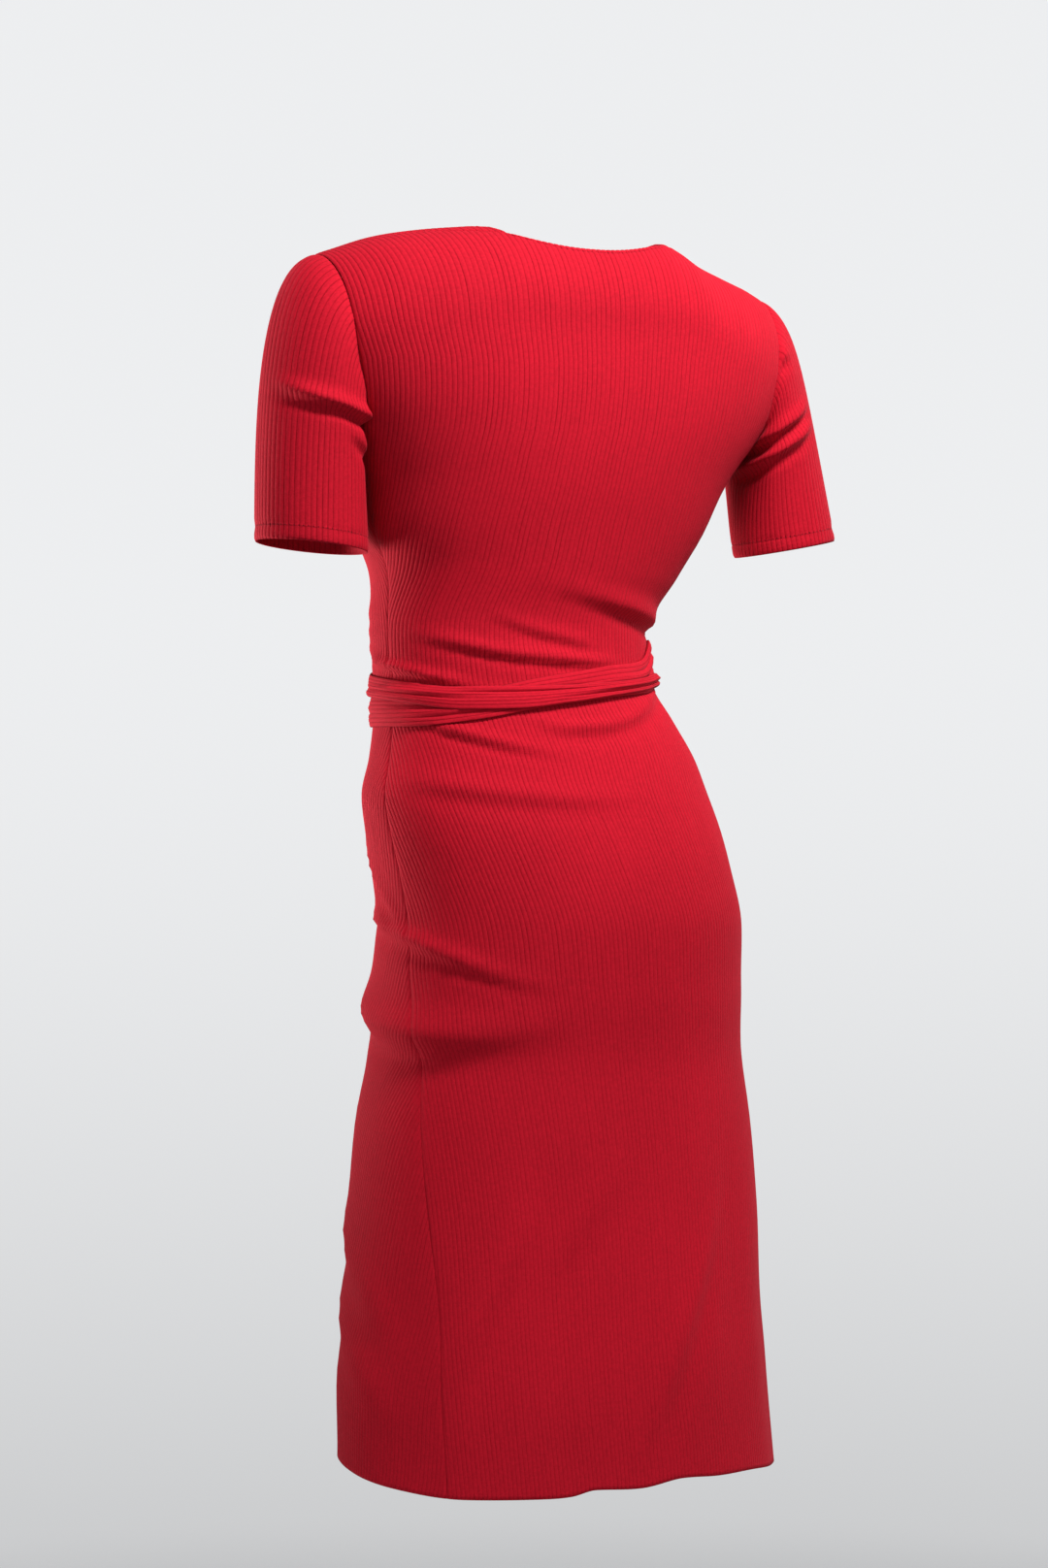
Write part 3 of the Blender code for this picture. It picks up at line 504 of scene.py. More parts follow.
def fold_rise(folds, angle, z):
    """How far folds stand out at an angle and a height."""
    angle, z = np.broadcast_arrays(np.asarray(angle, float), np.asarray(z, float))
    total = np.zeros(angle.shape)
    for fold in folds:
        turn = (angle - fold.start) % 360.0 / (fold.end - fold.start)
        inside = turn < 1.0
        t = np.where(inside, turn, 0.0)
        middle = curve_through(t, np.linspace(0.0, 1.0, len(fold.heights)), fold.heights)
        fade = smooth_step(t, 0.0, fold.head) * (1.0 - smooth_step(t, 1.0 - fold.tail, 1.0)) * inside
        up = (z - middle) / fold.width
        ridge = bell(up, np.where(up > 0.0, RIDGE_ABOVE, RIDGE_BELOW))
        sunk = (z - middle + fold.width + RIDGE_BELOW * fold.under) / fold.under
        total += fade * (fold.ridge * ridge - fold.trough * np.exp(-sunk * sunk))
    return total


def fold_height(phi, z):
    """How far the folds and the skirt's waves stand out of the plain form."""
    total = fold_rise(FOLDS, phi, z)
    for wave in DOWN_FOLDS:
        side = full_turn(phi - wave.angle) / wave.width
        fade = smooth_step(-z, -wave.top, -wave.top + 0.12)
        fade = fade * (1.0 - smooth_step(-z, -wave.bottom - 0.1, -wave.bottom + 0.05))
        total += wave.height * np.exp(-side * side) * fade
    return total


def base_point(phi, level, out=0.0):
    """Point of the plain form. Above the shoulder's roll, level counts on along the surface."""
    phi, level, out = np.broadcast_arrays(
        np.asarray(phi, float), np.asarray(level, float), np.asarray(out, float)
    )
    ring = np.clip(level, RINGS[0].z, RINGS[-1].z)
    angle = np.radians(phi)
    power = 2.0 / SECTION_POWER
    cos, sin = np.cos(angle), np.sin(angle)
    half = column(RINGS, ring, "half", "z") + out
    x = column(RINGS, ring, "cx", "z") + half * np.sign(cos) * np.abs(cos) ** power
    side = np.abs(sin) ** power
    back_y = column(RINGS, ring, "cy", "z") + (column(RINGS, ring, "back", "z") + out) * side
    front_y = column(RINGS, ring, "cy", "z") - (column(RINGS, ring, "front", "z") + out) * side
    top = column(RIDGE, x, "z", "x") + out
    ridge_y = column(RIDGE, x, "y", "x")
    start = top - SHOULDER_ROLL
    roll = np.clip((level - start) / SHOULDER_ROLL, 0.0, ROLL_END)
    z = np.where(level < start, level, start + SHOULDER_ROLL * np.sin(roll))
    reach = np.cos(roll)
    behind = (sin >= 0) ^ (reach < 0)
    y = ridge_y + (np.where(behind, back_y, front_y) - ridge_y) * np.abs(reach)
    return np.stack([x, y, z], axis=-1)


def body_point(phi, level, out=0.0):
    """Point of the folded form, moved out by `out` along its normal."""
    step_phi, step_level = 0.4, 0.001
    across = base_point(phi + step_phi, level) - base_point(phi - step_phi, level)
    along = base_point(phi, level + step_level) - base_point(phi, level - step_level)
    normal = np.cross(across, along)
    normal /= np.linalg.norm(normal, axis=-1, keepdims=True) + 1e-12
    lift = out + folds_shown(phi, level)
    return base_point(phi, level) + normal * np.asarray(lift)[..., None]


def level_of_roll(x, roll):
    """Level at which the form over x has rolled by `roll` radians; a quarter turn is the ridge."""
    return column(RIDGE, x, "z", "x") - SHOULDER_ROLL + SHOULDER_ROLL * roll


def height_at(x, level):
    """Height of the form over x at a level."""
    start = column(RIDGE, x, "z", "x") - SHOULDER_ROLL
    roll = np.clip((level - start) / SHOULDER_ROLL, 0.0, math.pi)
    return np.where(level < start, level, start + SHOULDER_ROLL * np.sin(roll))


def angle_at(x, level, behind):
    """Angle round the body of the point over x at a level."""
    ring = np.clip(level, RINGS[0].z, RINGS[-1].z)
    share = (x - column(RINGS, ring, "cx", "z")) / column(RINGS, ring, "half", "z")
    cos = np.sign(share) * np.clip(np.abs(share), 0.0, 1.0) ** (SECTION_POWER / 2.0)
    angle = np.degrees(np.arccos(np.clip(cos, -1.0, 1.0)))
    return angle if behind else -angle


def hem_level(angle):
    return column(HEM, full_turn(angle), "z", "angle")


def seam_roll(x):
    """How far the shoulder seam lies behind the ridge over x, in radians of the roll."""
    tip = np.where(x > 0, TIP_X["left"], TIP_X["right"])
    neck = np.where(x > 0, NECK_X["left"], NECK_X["right"])
    share = np.clip((tip - x) / (tip - neck), 0.0, 1.0)
    return np.radians(SEAM_BEHIND_RIDGE) * share


def slit_width(z):
    """Degrees by which the right side seam opens for the tie."""
    low, high = SLIT
    rise = smooth_step(z, low - 0.006, low + 0.004)
    return SLIT_HALF_DEGREES * rise * (1.0 - smooth_step(z, high - 0.004, high + 0.006))


def side_angle(side, behind, level):
    """Angle of a panel's sewn side: its side seam, and above the armpit its armhole."""
    if level > ARMPIT_Z:
        z = float(height_at(TIP_X[side], level))
        x = float(column(ARMHOLE, z, side, "z"))
        return float(angle_at(x, level, behind))
    angle = float(column(SEAM_ROWS, level, side, "z"))
    if side == "right":
        angle += slit_width(level) * (-1.0 if behind else 1.0)
        angle -= 0.0 if behind else 360.0
    return float(angle)


def edge_angle(kind, side, level, top_level):
    """Angle of a front's leading edge, which above the bust runs up to the neck point."""
    if level <= NECK_RISE_Z:
        return float(column(EDGES, level, kind, "z"))
    low = base_point(float(column(EDGES, NECK_RISE_Z, kind, "z")), NECK_RISE_Z)[0]
    share = (level - NECK_RISE_Z) / (top_level - NECK_RISE_Z)
    x = low + (NECK_X[side] - low) * share
    bow = 4.0 * NECK_BOW * share * (1.0 - share)
    x += bow if side == "left" else -bow
    return float(angle_at(x, level, False))


def lower_level(angle, rise):
    """Level at an angle, a share `rise` of the way from the hem to the armpits."""
    return hem_level(angle) + (ARMPIT_Z - hem_level(angle)) * rise


def seam_angle(side, behind, rise):
    """Angle of a side seam at a rise. Both panels take it from here, so their edges meet."""
    level = float(lower_level(SEAM_ROWS[0].left if side == "left" else SEAM_ROWS[0].right, rise))
    return side_angle(side, behind, min(level, ARMPIT_Z))


def armhole_angle(side, behind, above):
    """Angle of an armhole's edge, a share `above` of the way from the armpit to the shoulder tip."""
    tip = float(level_of_roll(TIP_X[side], math.pi / 2))
    return side_angle(side, behind, ARMPIT_Z + (tip - ARMPIT_Z) * above + 1e-6)


def belt_edges(angle):
    """Lower and upper edge of the two ties together, round the body."""
    lows, highs = [], []
    for rows in (TIE_UNDER, TIE_OVER):
        for turn in (-720.0, -360.0, 0.0, 360.0):
            spot = angle + turn
            if min(rows[0].angle, rows[-1].angle) <= spot <= max(rows[0].angle, rows[-1].angle):
                z, half = tie_at(rows, spot)
                lows.append(z - half)
                highs.append(z + half)
    return (min(lows), max(highs)) if lows else BELT_AT_KNOT


def tie_at(rows, angle):
    """Middle height and half width of a tie at an angle."""
    ordered = sorted(rows)
    return column(ordered, angle, "z", "angle"), column(ordered, angle, "half", "angle")


BELT_ANGLES = np.arange(-180, 181, 3)
BELT_LOW, BELT_HIGH = np.array([belt_edges(float(angle)) for angle in BELT_ANGLES]).T


def folds_shown(phi, z):
    """Folds flatten out where the ties hold the cloth down."""
    turn = full_turn(phi)
    low = np.interp(turn, BELT_ANGLES, BELT_LOW)
    high = np.interp(turn, BELT_ANGLES, BELT_HIGH)
    outside = np.maximum(low - z, z - high)
    return fold_height(phi, z) * smooth_step(outside, *BELT_FADE)


def back_top(share):
    """Level of the back's upper edge and whether it is neck there, not shoulder seam."""
    tip = level_of_roll(0.0, math.pi / 2)
    first, last = (float(angle_at(TIP_X[side], tip, True)) for side in ("left", "right"))
    x = base_point(first + (last - first) * share, tip)[..., 0]
    middle = 0.5 * (NECK_X["left"] + NECK_X["right"])
    half = 0.5 * (NECK_X["left"] - NECK_X["right"])
    across = np.abs(x - middle) / half
    drop = NECK_BEHIND_RIDGE - SEAM_BEHIND_RIDGE
    neck = np.radians(SEAM_BEHIND_RIDGE + drop * (1.0 - np.minimum(across, 1.0) ** 2.2))
    roll = np.where(across < 1.0, neck, seam_roll(x))
    return level_of_roll(x, math.pi / 2 - roll), across < 1.0


def front_top(side, share):
    """Level of a front's shoulder seam, from the tip to the neck point."""
    tip = level_of_roll(0.0, math.pi / 2)
    first = float(angle_at(TIP_X[side], tip, False))
    last = float(angle_at(NECK_X[side], tip, False))
    x = base_point(first + (last - first) * np.asarray(share, float), tip)[..., 0]
    return level_of_roll(x, math.pi / 2 + seam_roll(x))


def back_at(share, rise):
    """Angles and levels across the back. A rise up to 1 is below the armpits, 1 to 2 above."""
    if rise <= 1.0:
        left = seam_angle("left", True, rise)
        right = seam_angle("right", True, rise)
        angle = left + (right - left) * share
        return angle, lower_level(angle, rise)
    above = rise - 1.0
    left, right = (armhole_angle(side, True, above) for side in ("left", "right"))
    top = back_top(share)[0]
    return left + (right - left) * share, ARMPIT_Z + (top - ARMPIT_Z) * above


def front_at(kind, share, rise):
    """Angles and levels across a front, share 0 at its sewn side and 1 at its leading edge."""
    side = "left" if kind == "under" else "right"
    neck = float(front_top(side, 1.0))
    if rise <= 1.0:
        start = seam_angle(side, False, rise)
        end = edge_angle(kind, side, float(lower_level(-90.0, rise)), neck)
        angle = start + (end - start) * share
        return angle, lower_level(angle, rise)
    above = rise - 1.0
    start = armhole_angle(side, False, above)
    end = edge_angle(kind, side, ARMPIT_Z + (neck - ARMPIT_Z) * above, neck)
    return start + (end - start) * share, ARMPIT_Z + (front_top(side, share) - ARMPIT_Z) * above


def over_lift(share, rise):
    """How far the over front stands outside the form to clear the under front."""
    return OVERLAP_LIFT * smooth_step(share, 0.0, 0.12) * (1.0 - smooth_step(rise, 1.15, 1.6))


def row_rises():
    """The rises of a panel's rows, closer together at the waist and the neck."""
    rises = []
    low = HEM_START
    for run in ROW_RUNS:
        rises += [low + (run.to - low) * i / run.steps for i in range(run.steps)]
        low = run.to
    return [(level - HEM_START) / (ARMPIT_Z - HEM_START) for level in rises] + list(UPPER_RISES)


GIRTH_ANGLES = np.arange(-230.0, 231.0, 1.0)
GIRTH_LEVELS = np.arange(RINGS[0].z, RINGS[-1].z + GIRTH_STEP, GIRTH_STEP)


def girths():
    """Length round the body from the first angle to each, at each level."""
    levels = np.minimum(GIRTH_LEVELS, GIRTH_TOP)[:, None]
    steps = np.linalg.norm(np.diff(base_point(GIRTH_ANGLES[None, :], levels)[..., :2], axis=1), axis=2)
    return np.concatenate([np.zeros((len(GIRTH_LEVELS), 1)), np.cumsum(steps, axis=1)], axis=1)


GIRTH = girths()


def length_round(angle, level):
    """Length along the ring at a level, from a fixed angle to this one."""
    row = np.clip((np.asarray(level) - GIRTH_LEVELS[0]) / GIRTH_STEP, 0, len(GIRTH_LEVELS) - 1.001)
    spot = np.clip(np.asarray(angle) - GIRTH_ANGLES[0], 0, len(GIRTH_ANGLES) - 1.001)
    row, spot = np.broadcast_arrays(row, spot)
    i, j = row.astype(int), spot.astype(int)
    up, on = row - i, spot - j
    low = GIRTH[i, j] * (1 - on) + GIRTH[i, j + 1] * on
    high = GIRTH[i + 1, j] * (1 - on) + GIRTH[i + 1, j + 1] * on
    return low * (1 - up) + high * up


def from_grain(name, angle, level):
    """Distance in the cloth from the panel's grain line. Cloth that is stretched has wider ribs."""
    grain = column(GRAIN, level, name, "z")
    stretch = column(GRAIN, level, "stretch", "z")
    return (length_round(angle, level) - length_round(grain, level)) / stretch


def seam_line(distance):
    """How far a sewn edge pulls the cloth in."""
    return -SEAM_DIP * bell(distance, SEAM_DIP_WIDTH)


def turned_line(distance):
    """Shape of a turned and stitched edge, by distance from it."""
    roll = -EDGE_ROLL * bell(distance, EDGE_ROLL_WIDTH)
    return roll - STITCH_DIP * bell(distance - STITCH_FROM_EDGE, STITCH_WIDTH)


def slant_of_edge(kind, rise):
    """Sine of the angle between a front's leading edge and its rows."""
    step = 0.004
    low, high = max(rise - step, 0.0), min(rise + step, 1.9985)
    ends = [body_point(*front_at(kind, np.array([1.0]), r))[0] for r in (low, high)]
    row = body_point(*front_at(kind, np.array([0.99, 1.0]), rise))
    edge, across = ends[1] - ends[0], row[1] - row[0]
    edge /= np.linalg.norm(edge)
    across /= np.linalg.norm(across)
    return float(np.linalg.norm(np.cross(edge, across)))


def back_edges(share, rise, width, ends):
    """Distances across a row of the back to its seams and to its stitched neck edge."""
    seam = np.minimum(width - ends[0], ends[1] - width)
    top, is_neck = back_top(share)
    from_top = (top - ARMPIT_Z) * (2.0 - max(rise, 1.0)) + (0.0 if rise > 1.0 else 1.0)
    stitch = np.where(is_neck, from_top, NO_STITCH)
    return np.where(is_neck, seam, np.minimum(seam, from_top)), stitch


def front_edges(kind, share, rise, width, ends):
    """Distances across a row of a front to its seams and to its stitched leading edge."""
    sewn, free = (ends[1], ends[0]) if kind == "under" else (ends[0], ends[1])
    side = "left" if kind == "under" else "right"
    seam = np.abs(width - sewn)
    if rise > 1.0:
        seam = np.minimum(seam, (front_top(side, share) - ARMPIT_Z) * (2.0 - rise))
    return seam, np.abs(width - free) * slant_of_edge(kind, rise)


def rib_columns(first, last):
    """Distances from the grain line of the columns between two ends, and which stand on a crown."""
    ribs = np.arange(math.floor(first / RIB_PITCH) - 1, math.ceil(last / RIB_PITCH) + 2)
    spots = (ribs[:, None] + np.array(RIB_POINTS)[None, :]) * RIB_PITCH
    crown = np.tile([0.0, 1.0, 1.0], len(ribs))
    return spots.ravel(), crown


def panel_rows(grain, place):
    """Each row's rise, its distances from the grain line, rising, and their shares across it."""
    samples = np.linspace(0.0, 1.0, ROW_SAMPLES)
    rows = []
    for rise in row_rises():
        widths = from_grain(grain, *place(samples, rise))
        order = 1 if widths[-1] > widths[0] else -1
        rows.append((rise, widths[::order], samples[::order]))
    return rows


def row_columns(spots, low, high):
    """Distances across a row of its columns between two ends, and its first and last rib column."""
    inner_low, inner_high = low + SEAM_FLAT, high - SEAM_FLAT
    start = int(np.searchsorted(spots, inner_low, side="right")) - 1
    end = int(np.searchsorted(spots, inner_high, side="left"))
    inner = np.clip(spots[start : end + 1], inner_low, inner_high)
    width = np.concatenate([(low, low + SEAM_GAP / 2), inner, (high - SEAM_GAP / 2, high)])
    return width, start, end


def panel_faces(index):
    """Faces between rows of point numbers, with three corners or none where columns run together."""
    faces = []
    for below, above in zip(index, index[1:]):
        quads = zip(below[:-1].tolist(), below[1:].tolist(), above[1:].tolist(), above[:-1].tolist())
        corners = [tuple(dict.fromkeys(quad)) for quad in quads]
        faces += [face for face in corners if len(face) > 2]
    return faces


def panel_object(name, grain, place, edges, lift=None):
    """A body panel, its columns along the ribs and its rows across. Seams cut through the ribs."""
    rows = panel_rows(grain, place)
    first = min(widths[0] for rise, widths, shares in rows)
    last = max(widths[-1] for rise, widths, shares in rows)
    spots, crown = rib_columns(first, last)
    points, grains, stitches, index = [], [], [], []
    base = 0
    for rise, widths, shares in rows:
        ends = widths[0], widths[-1]
        width, start, end = row_columns(spots, *ends)
        share = np.interp(width, widths, shares)
        angle, level = place(share, rise)
        seam, stitch = edges(share, rise, width, ends)
        rib = np.concatenate([[0.0, 0.0], crown[start : end + 1], [0.0, 0.0]])
        out = RIB_DEPTH * rib * smooth_step(seam, 0.0, SEAM_FADE)
        out = out * (1.0 - SKIRT_FLATTER * smooth_step(-level, *SKIRT_FADE))
        out = out + seam_line(seam) + turned_line(stitch)
        if lift:
            out = out + lift(share, rise)
        out = out - ALLOWANCE * (seam < ON_SEAM)
        points.append(body_point(angle, level, out))
        grains.append(np.stack([width, level], axis=-1))
        along = np.where(stitch < STITCH_REACH, width + level, 0.0)
        stitches.append(np.stack([stitch, along], axis=-1))
        inner = base + 2 + np.clip(np.arange(len(spots)), start, end) - start
        last_two = base + len(width) + np.array([-2, -1])
        index.append(np.concatenate([[base, base + 1], inner, last_two]))
        base += len(width)
    joined = [np.concatenate(values) for values in (points, grains, stitches)]
    return cloth_object(name, joined[0], panel_faces(index), joined[1], joined[2])


def cloth_object(name, points, faces, grains, stitches, wall=WALL):
    """A cloth piece: its outer surface, thickened inward, with its grain and edge coordinates."""
    mesh = bpy.data.meshes.new(name)
    mesh.from_pydata([tuple(p) for p in points.tolist()], [], faces)
    mesh.update()
    corner = np.empty(len(mesh.loops), dtype=np.int64)
    mesh.loops.foreach_get("vertex_index", corner)
    for layer, values in (("grain", grains), ("edge", stitches)):
        uv = mesh.uv_layers.new(name=layer)
        uv.data.foreach_set("uv", values[corner].astype(np.float32).ravel())
    mesh.shade_smooth()
    obj = bpy.data.objects.new(name, mesh)
    bpy.context.scene.collection.objects.link(obj)
    thick = obj.modifiers.new("Wall", "SOLIDIFY")
    thick.thickness = wall
    thick.offset = -1.0
    return obj


def grid_object(name, points, grains, stitches, wall, wraps=False, inward=False):
    """A cloth piece from a grid of points, its rows running up and its columns to the right."""
    rows, columns = points.shape[:2]
    faces = []
    for i in range(rows - 1):
        for j in range(columns if wraps else columns - 1):
            k = (j + 1) % columns
            face = (i * columns + j, i * columns + k, (i + 1) * columns + k, (i + 1) * columns + j)
            faces.append(face[::-1] if inward else face)
    flat = [values.reshape(-1, values.shape[-1]) for values in (points, grains, stitches)]
    return cloth_object(name, flat[0], faces, flat[1], flat[2], wall)


def far_from_edges(points):
    """Edge coordinates of a piece with no stitched edge."""
    return np.stack([np.full(points.shape[:2], NO_STITCH), np.zeros(points.shape[:2])], axis=-1)


def back_panel():
    return panel_object("cloth_back", "back", back_at, back_edges)


def front_panel(kind):
    name = "cloth_front_left" if kind == "under" else "cloth_front_right"
    lift = over_lift if kind == "over" else None
    return panel_object(name, "front", partial(front_at, kind), partial(front_edges, kind), lift)


def armhole_loop(side, turns, out=0.0):
    """Points of the armhole's seam at shares of the way round, from the armpit up behind."""
    tip = float(level_of_roll(TIP_X[side], math.pi / 2))
    levels = np.linspace(ARMPIT_Z, tip, 90)
    halves = []
    for behind in (True, False):
        angles = np.array([side_angle(side, behind, level + 1e-6) for level in levels])
        line = body_point(angles, levels, out)
        length = lengths_along(line)
        halves.append((line, length / length[-1]))
    points = []
    for turn in turns:
        line, share = halves[0] if turn <= 0.5 else halves[1]
        spot = 2.0 * turn if turn <= 0.5 else 2.0 - 2.0 * turn
        points.append([np.interp(spot, share, line[:, k]) for k in range(3)])
    return np.array(points)


def normals_round(points):
    """Unit normals of a tube's grid of points."""
    across = np.roll(points, -1, axis=1) - np.roll(points, 1, axis=1)
    normal = np.cross(across, np.gradient(points, axis=0))
    return normal / (np.linalg.norm(normal, axis=-1, keepdims=True) + 1e-12)


def sleeve_form(side, turns):
    """Points of a plain sleeve, from its round cuff up to the armhole."""
    shape = SLEEVES[side]
    sign = 1.0 if side == "left" else -1.0
    lean = SLEEVE_LEAN[side]
    turn = turns * 2 * math.pi
    inward = np.cos(turn)
    top = 0.5 * (1.0 - inward)  # 0 at the armpit to 1 at the shoulder
    middle = 0.5 * (shape.outer_z + shape.inner_z)
    half = 0.5 * (shape.outer_z - shape.inner_z)
    around_x = shape.cx - sign * shape.radius * inward
    around_y = shape.cy + shape.radius * np.sin(turn)
    cuff = np.stack([around_x, around_y, middle - half * inward], axis=-1) + lean * np.array(LEAN_REACH)
    arm = armhole_loop(side, turns) + np.array([sign, 0.0, 0.0]) * SLEEVE_LIFT
    leave = np.stack([sign * (0.35 + 0.65 * top), 0.25 * np.sin(turn), -1.0 + 0.75 * top], axis=-1)
    leave /= np.linalg.norm(leave, axis=1, keepdims=True)
    upper = arm + leave * (SLEEVE_LEAVE + shape.reach * top)[:, None]
    straight = np.array([0.0, 0.0, 1.0]) - lean * np.array(LEAN_SLOPE)
    lower = cuff + straight * (CUFF_RISE + CUFF_RISE_TOP * top)[:, None]
    t = np.array(SLEEVE_ROWS)[:, None, None]
    return (1 - t) ** 3 * cuff + 3 * t * (1 - t) ** 2 * lower + 3 * t * t * (1 - t) * upper + t**3 * arm


def sleeve(side):
    """A tube from the armhole to a round cuff, full at the shoulder and close under the arm."""
    turns = ((np.arange(SLEEVE_RIBS)[:, None] + np.array(RIB_POINTS)[None, :]) / SLEEVE_RIBS).ravel()
    crown = np.tile([0.0, 1.0, 1.0], SLEEVE_RIBS)
    points = sleeve_form(side, turns)
    steps = np.linalg.norm(np.diff(points, axis=0), axis=-1)
    from_cuff = np.concatenate([np.zeros((1, len(turns))), np.cumsum(steps, axis=0)])
    from_seam = from_cuff[-1] - from_cuff
    out = RIB_DEPTH * crown * smooth_step(from_seam, 0.0, SEAM_FADE)
    out = out + fold_rise(SLEEVE_FOLDS[side], np.degrees(turns * 2 * math.pi), points[..., 2])
    out = out - STITCH_DIP * bell(from_cuff - CUFF_STITCH, STITCH_WIDTH)
    out = out - EDGE_ROLL * bell(from_cuff, EDGE_ROLL_WIDTH)
    out = out * smooth_step(from_seam, *SLEEVE_FADE) + seam_line(from_seam)
    inward = side == "left"
    points = points + normals_round(points) * (-1.0 if inward else 1.0) * out[..., None]
    points[-1] = armhole_loop(side, turns, -ALLOWANCE)
    around = np.broadcast_to(turns * SLEEVE_RIBS * RIB_PITCH, out.shape)
    grains = np.stack([around, from_cuff], axis=-1)
    stitches = np.stack([from_cuff - CUFF_STITCH + STITCH_FROM_EDGE, around], axis=-1)
    return tube_object("cloth_sleeve_" + side, points, grains, stitches, inward)


def tube_object(name, points, grains, stitches, inward):
    """A tube of cloth, whose coordinates run on past its last column, right round to the first."""
    obj = grid_object(name, points, grains, stitches, WALL, wraps=True, inward=inward)
    whole = SLEEVE_RIBS * RIB_PITCH
    for layer, axis in (("grain", 0), ("edge", 1)):
        uv = obj.data.uv_layers[layer]
        values = np.empty(len(uv.data) * 2, dtype=np.float32)
        uv.data.foreach_get("uv", values)
        corners = values.reshape(-1, 4, 2)
        high = corners[:, :, axis].max(axis=1) > 0.9 * whole
        near = corners[:, :, axis] < 0.1 * whole
        corners[:, :, axis] += whole * (high[:, None] & near)
        uv.data.foreach_set("uv", corners.ravel())
    return obj


def front_lift(angle):
    """Height of what lies on the form where a tie passes over the over front."""
    turn = full_turn(angle)
    on_over = smooth_step(turn, *OVER_START) * (1.0 - smooth_step(turn, *OVER_END))
    return OVERLAP_LIFT * on_over


def tie_out(kind, angle, z):
    """How far a tie's outer side stands off the form."""
    out = TIE_CLEAR + TIE_WALL + front_lift(angle)
    if kind == "over":
        middle, half = tie_at(TIE_UNDER, angle - 360.0)
        inside = half - np.abs(z - middle)
        over_other = smooth_step(inside, *CROSSING_FADE) * (np.asarray(angle) < CROSSING_END)
        out = out + (TIE_WALL + CROSSING_CLEAR) * over_other
    return out


def tie_profile(kind, angle, across):
    """Shape across a tie: rounded edges, ribs and lengthwise pleats."""
    out = TIE_CROWN * (1.0 - np.abs(across) ** TIE_SQUARENESS) - TIE_SUNK
    for pleat in PLEATS[kind]:
        t = (angle - pleat.start) / (pleat.end - pleat.start)
        fade = np.sin(np.pi * np.clip(t, 0.0, 1.0)) ** 0.7
        middle = pleat.from_across + (pleat.to_across - pleat.from_across) * np.clip(t, 0.0, 1.0)
        side = (across - middle) / pleat.width
        out = out + fade * pleat.depth * (0.6 * bell(side - 1.3, 1.0) - bell(side, 1.0))
    return out


def tie_columns():
    """Places across a tie from its lower to its upper edge, and which stand on a rib's crown."""
    spots = (np.arange(TIE_RIBS)[:, None] + np.array(RIB_POINTS)[None, :]) / TIE_RIBS
    spots = np.append(spots.ravel(), 1.0) * 2.0 - 1.0
    crown = np.append(np.tile([0.0, 1.0, 1.0], TIE_RIBS), 0.0)
    return spots, crown


def tie_object(name, kind, angles, outs=None):
    """A stretch of tie round the form, rows along it from its lower edge up."""
    across, crown = tie_columns()
    rows = TIE_UNDER if kind == "under" else TIE_OVER
    middle, half = tie_at(rows, angles)
    level = middle[None, :] + half[None, :] * across[:, None]
    angle = np.broadcast_to(angles[None, :], level.shape)
    out = tie_out(kind, angle, level) if outs is None else outs[None, :]
    out = out + tie_profile(kind, angle, across[:, None]) + TIE_RIB_DEPTH * crown[:, None]
    points = body_point(angle, level, out)
    length = lengths_along(points[len(across) // 2])
    width = (across + 1.0) / 2.0 * TIE_RIBS * RIB_PITCH
    grains = np.stack(np.broadcast_arrays(width[:, None], length[None, :]), axis=-1)
    inward = angles[-1] < angles[0]
    return grid_object(name, points, grains, far_from_edges(points), TIE_SHELL, inward=inward)


def tie_angles(start, end):
    """Angles of a tie's rows, with one close to each end so that the cloth looks flat up to it."""
    close = math.copysign(TIE_END_DEGREES, end - start)
    rows = max(3, round(abs(end - start) / TIE_ROW_DEGREES))
    return np.concatenate([[start], np.linspace(start + close, end - close, rows), [end]])


def tie_stretch(place, start, end):
    """A plain stretch of tie from one angle to another."""
    return tie_object("cloth_tie_" + place, place.split("_")[0], tie_angles(start, end))


def slit_strip():
    """The tie of the under front where it comes out through the slit, then runs round the back."""
    angles = tie_angles(SLIT_STEPS[0][0], UNDER_JOIN)
    steps = sorted(SLIT_STEPS)
    outs = curve_through(angles, [a for a, out in steps], [out for a, out in steps])
    last = steps[0][0]
    blend = smooth_step(-angles, -last, -last + 7.0)
    plain = tie_out("under", angles, tie_at(TIE_UNDER, angles)[0])
    outs = outs * (1.0 - blend) + plain * blend
    return tie_object("cloth_tie_under_back", "under", angles, outs)


def knot():
    """A plain knot: a band wound aslant over the gathered ties."""
    turn = np.linspace(0.0, 2 * math.pi, KNOT_COLUMNS, endpoint=False)[None, :]
    rise = np.linspace(-0.5 * math.pi, 0.5 * math.pi, KNOT_ROWS)[:, None]
    x = np.cos(rise) * np.cos(turn)
    y = np.cos(rise) * np.sin(turn)
    z = np.broadcast_to(np.sin(rise), x.shape)
    slant = BAND_ACROSS * x + BAND_UP * z
    in_band = np.abs(slant - BAND_MIDDLE) < BAND_HALF
    along = np.where(in_band, slant, BAND_ACROSS * z - BAND_UP * x)
    wound = BAND_RISE * (smooth_step(slant, *BAND_START) - smooth_step(slant, *BAND_END))
    size = KNOT_BODY + wound + GATHER_DEPTH * np.cos(2 * math.pi * along * GATHERS)
    for across, up in KNOT_DENTS:
        size = size - DENT_DEPTH * bell(np.hypot(slant - across, z - up), DENT_WIDTH)
    centre = body_point(KNOT_ANGLE, KNOT_Z, OVERLAP_LIFT + KNOT_CLEAR + KNOT_SIZE[1] / 2)
    points = np.stack([x, y, z], axis=-1) * size[..., None] * np.array(KNOT_SIZE) / 2 + centre
    grains = np.stack([along * 0.018, z * 0.016], axis=-1)
    return grid_object("cloth_knot", points, grains, far_from_edges(points), KNOT_SHELL, wraps=True)


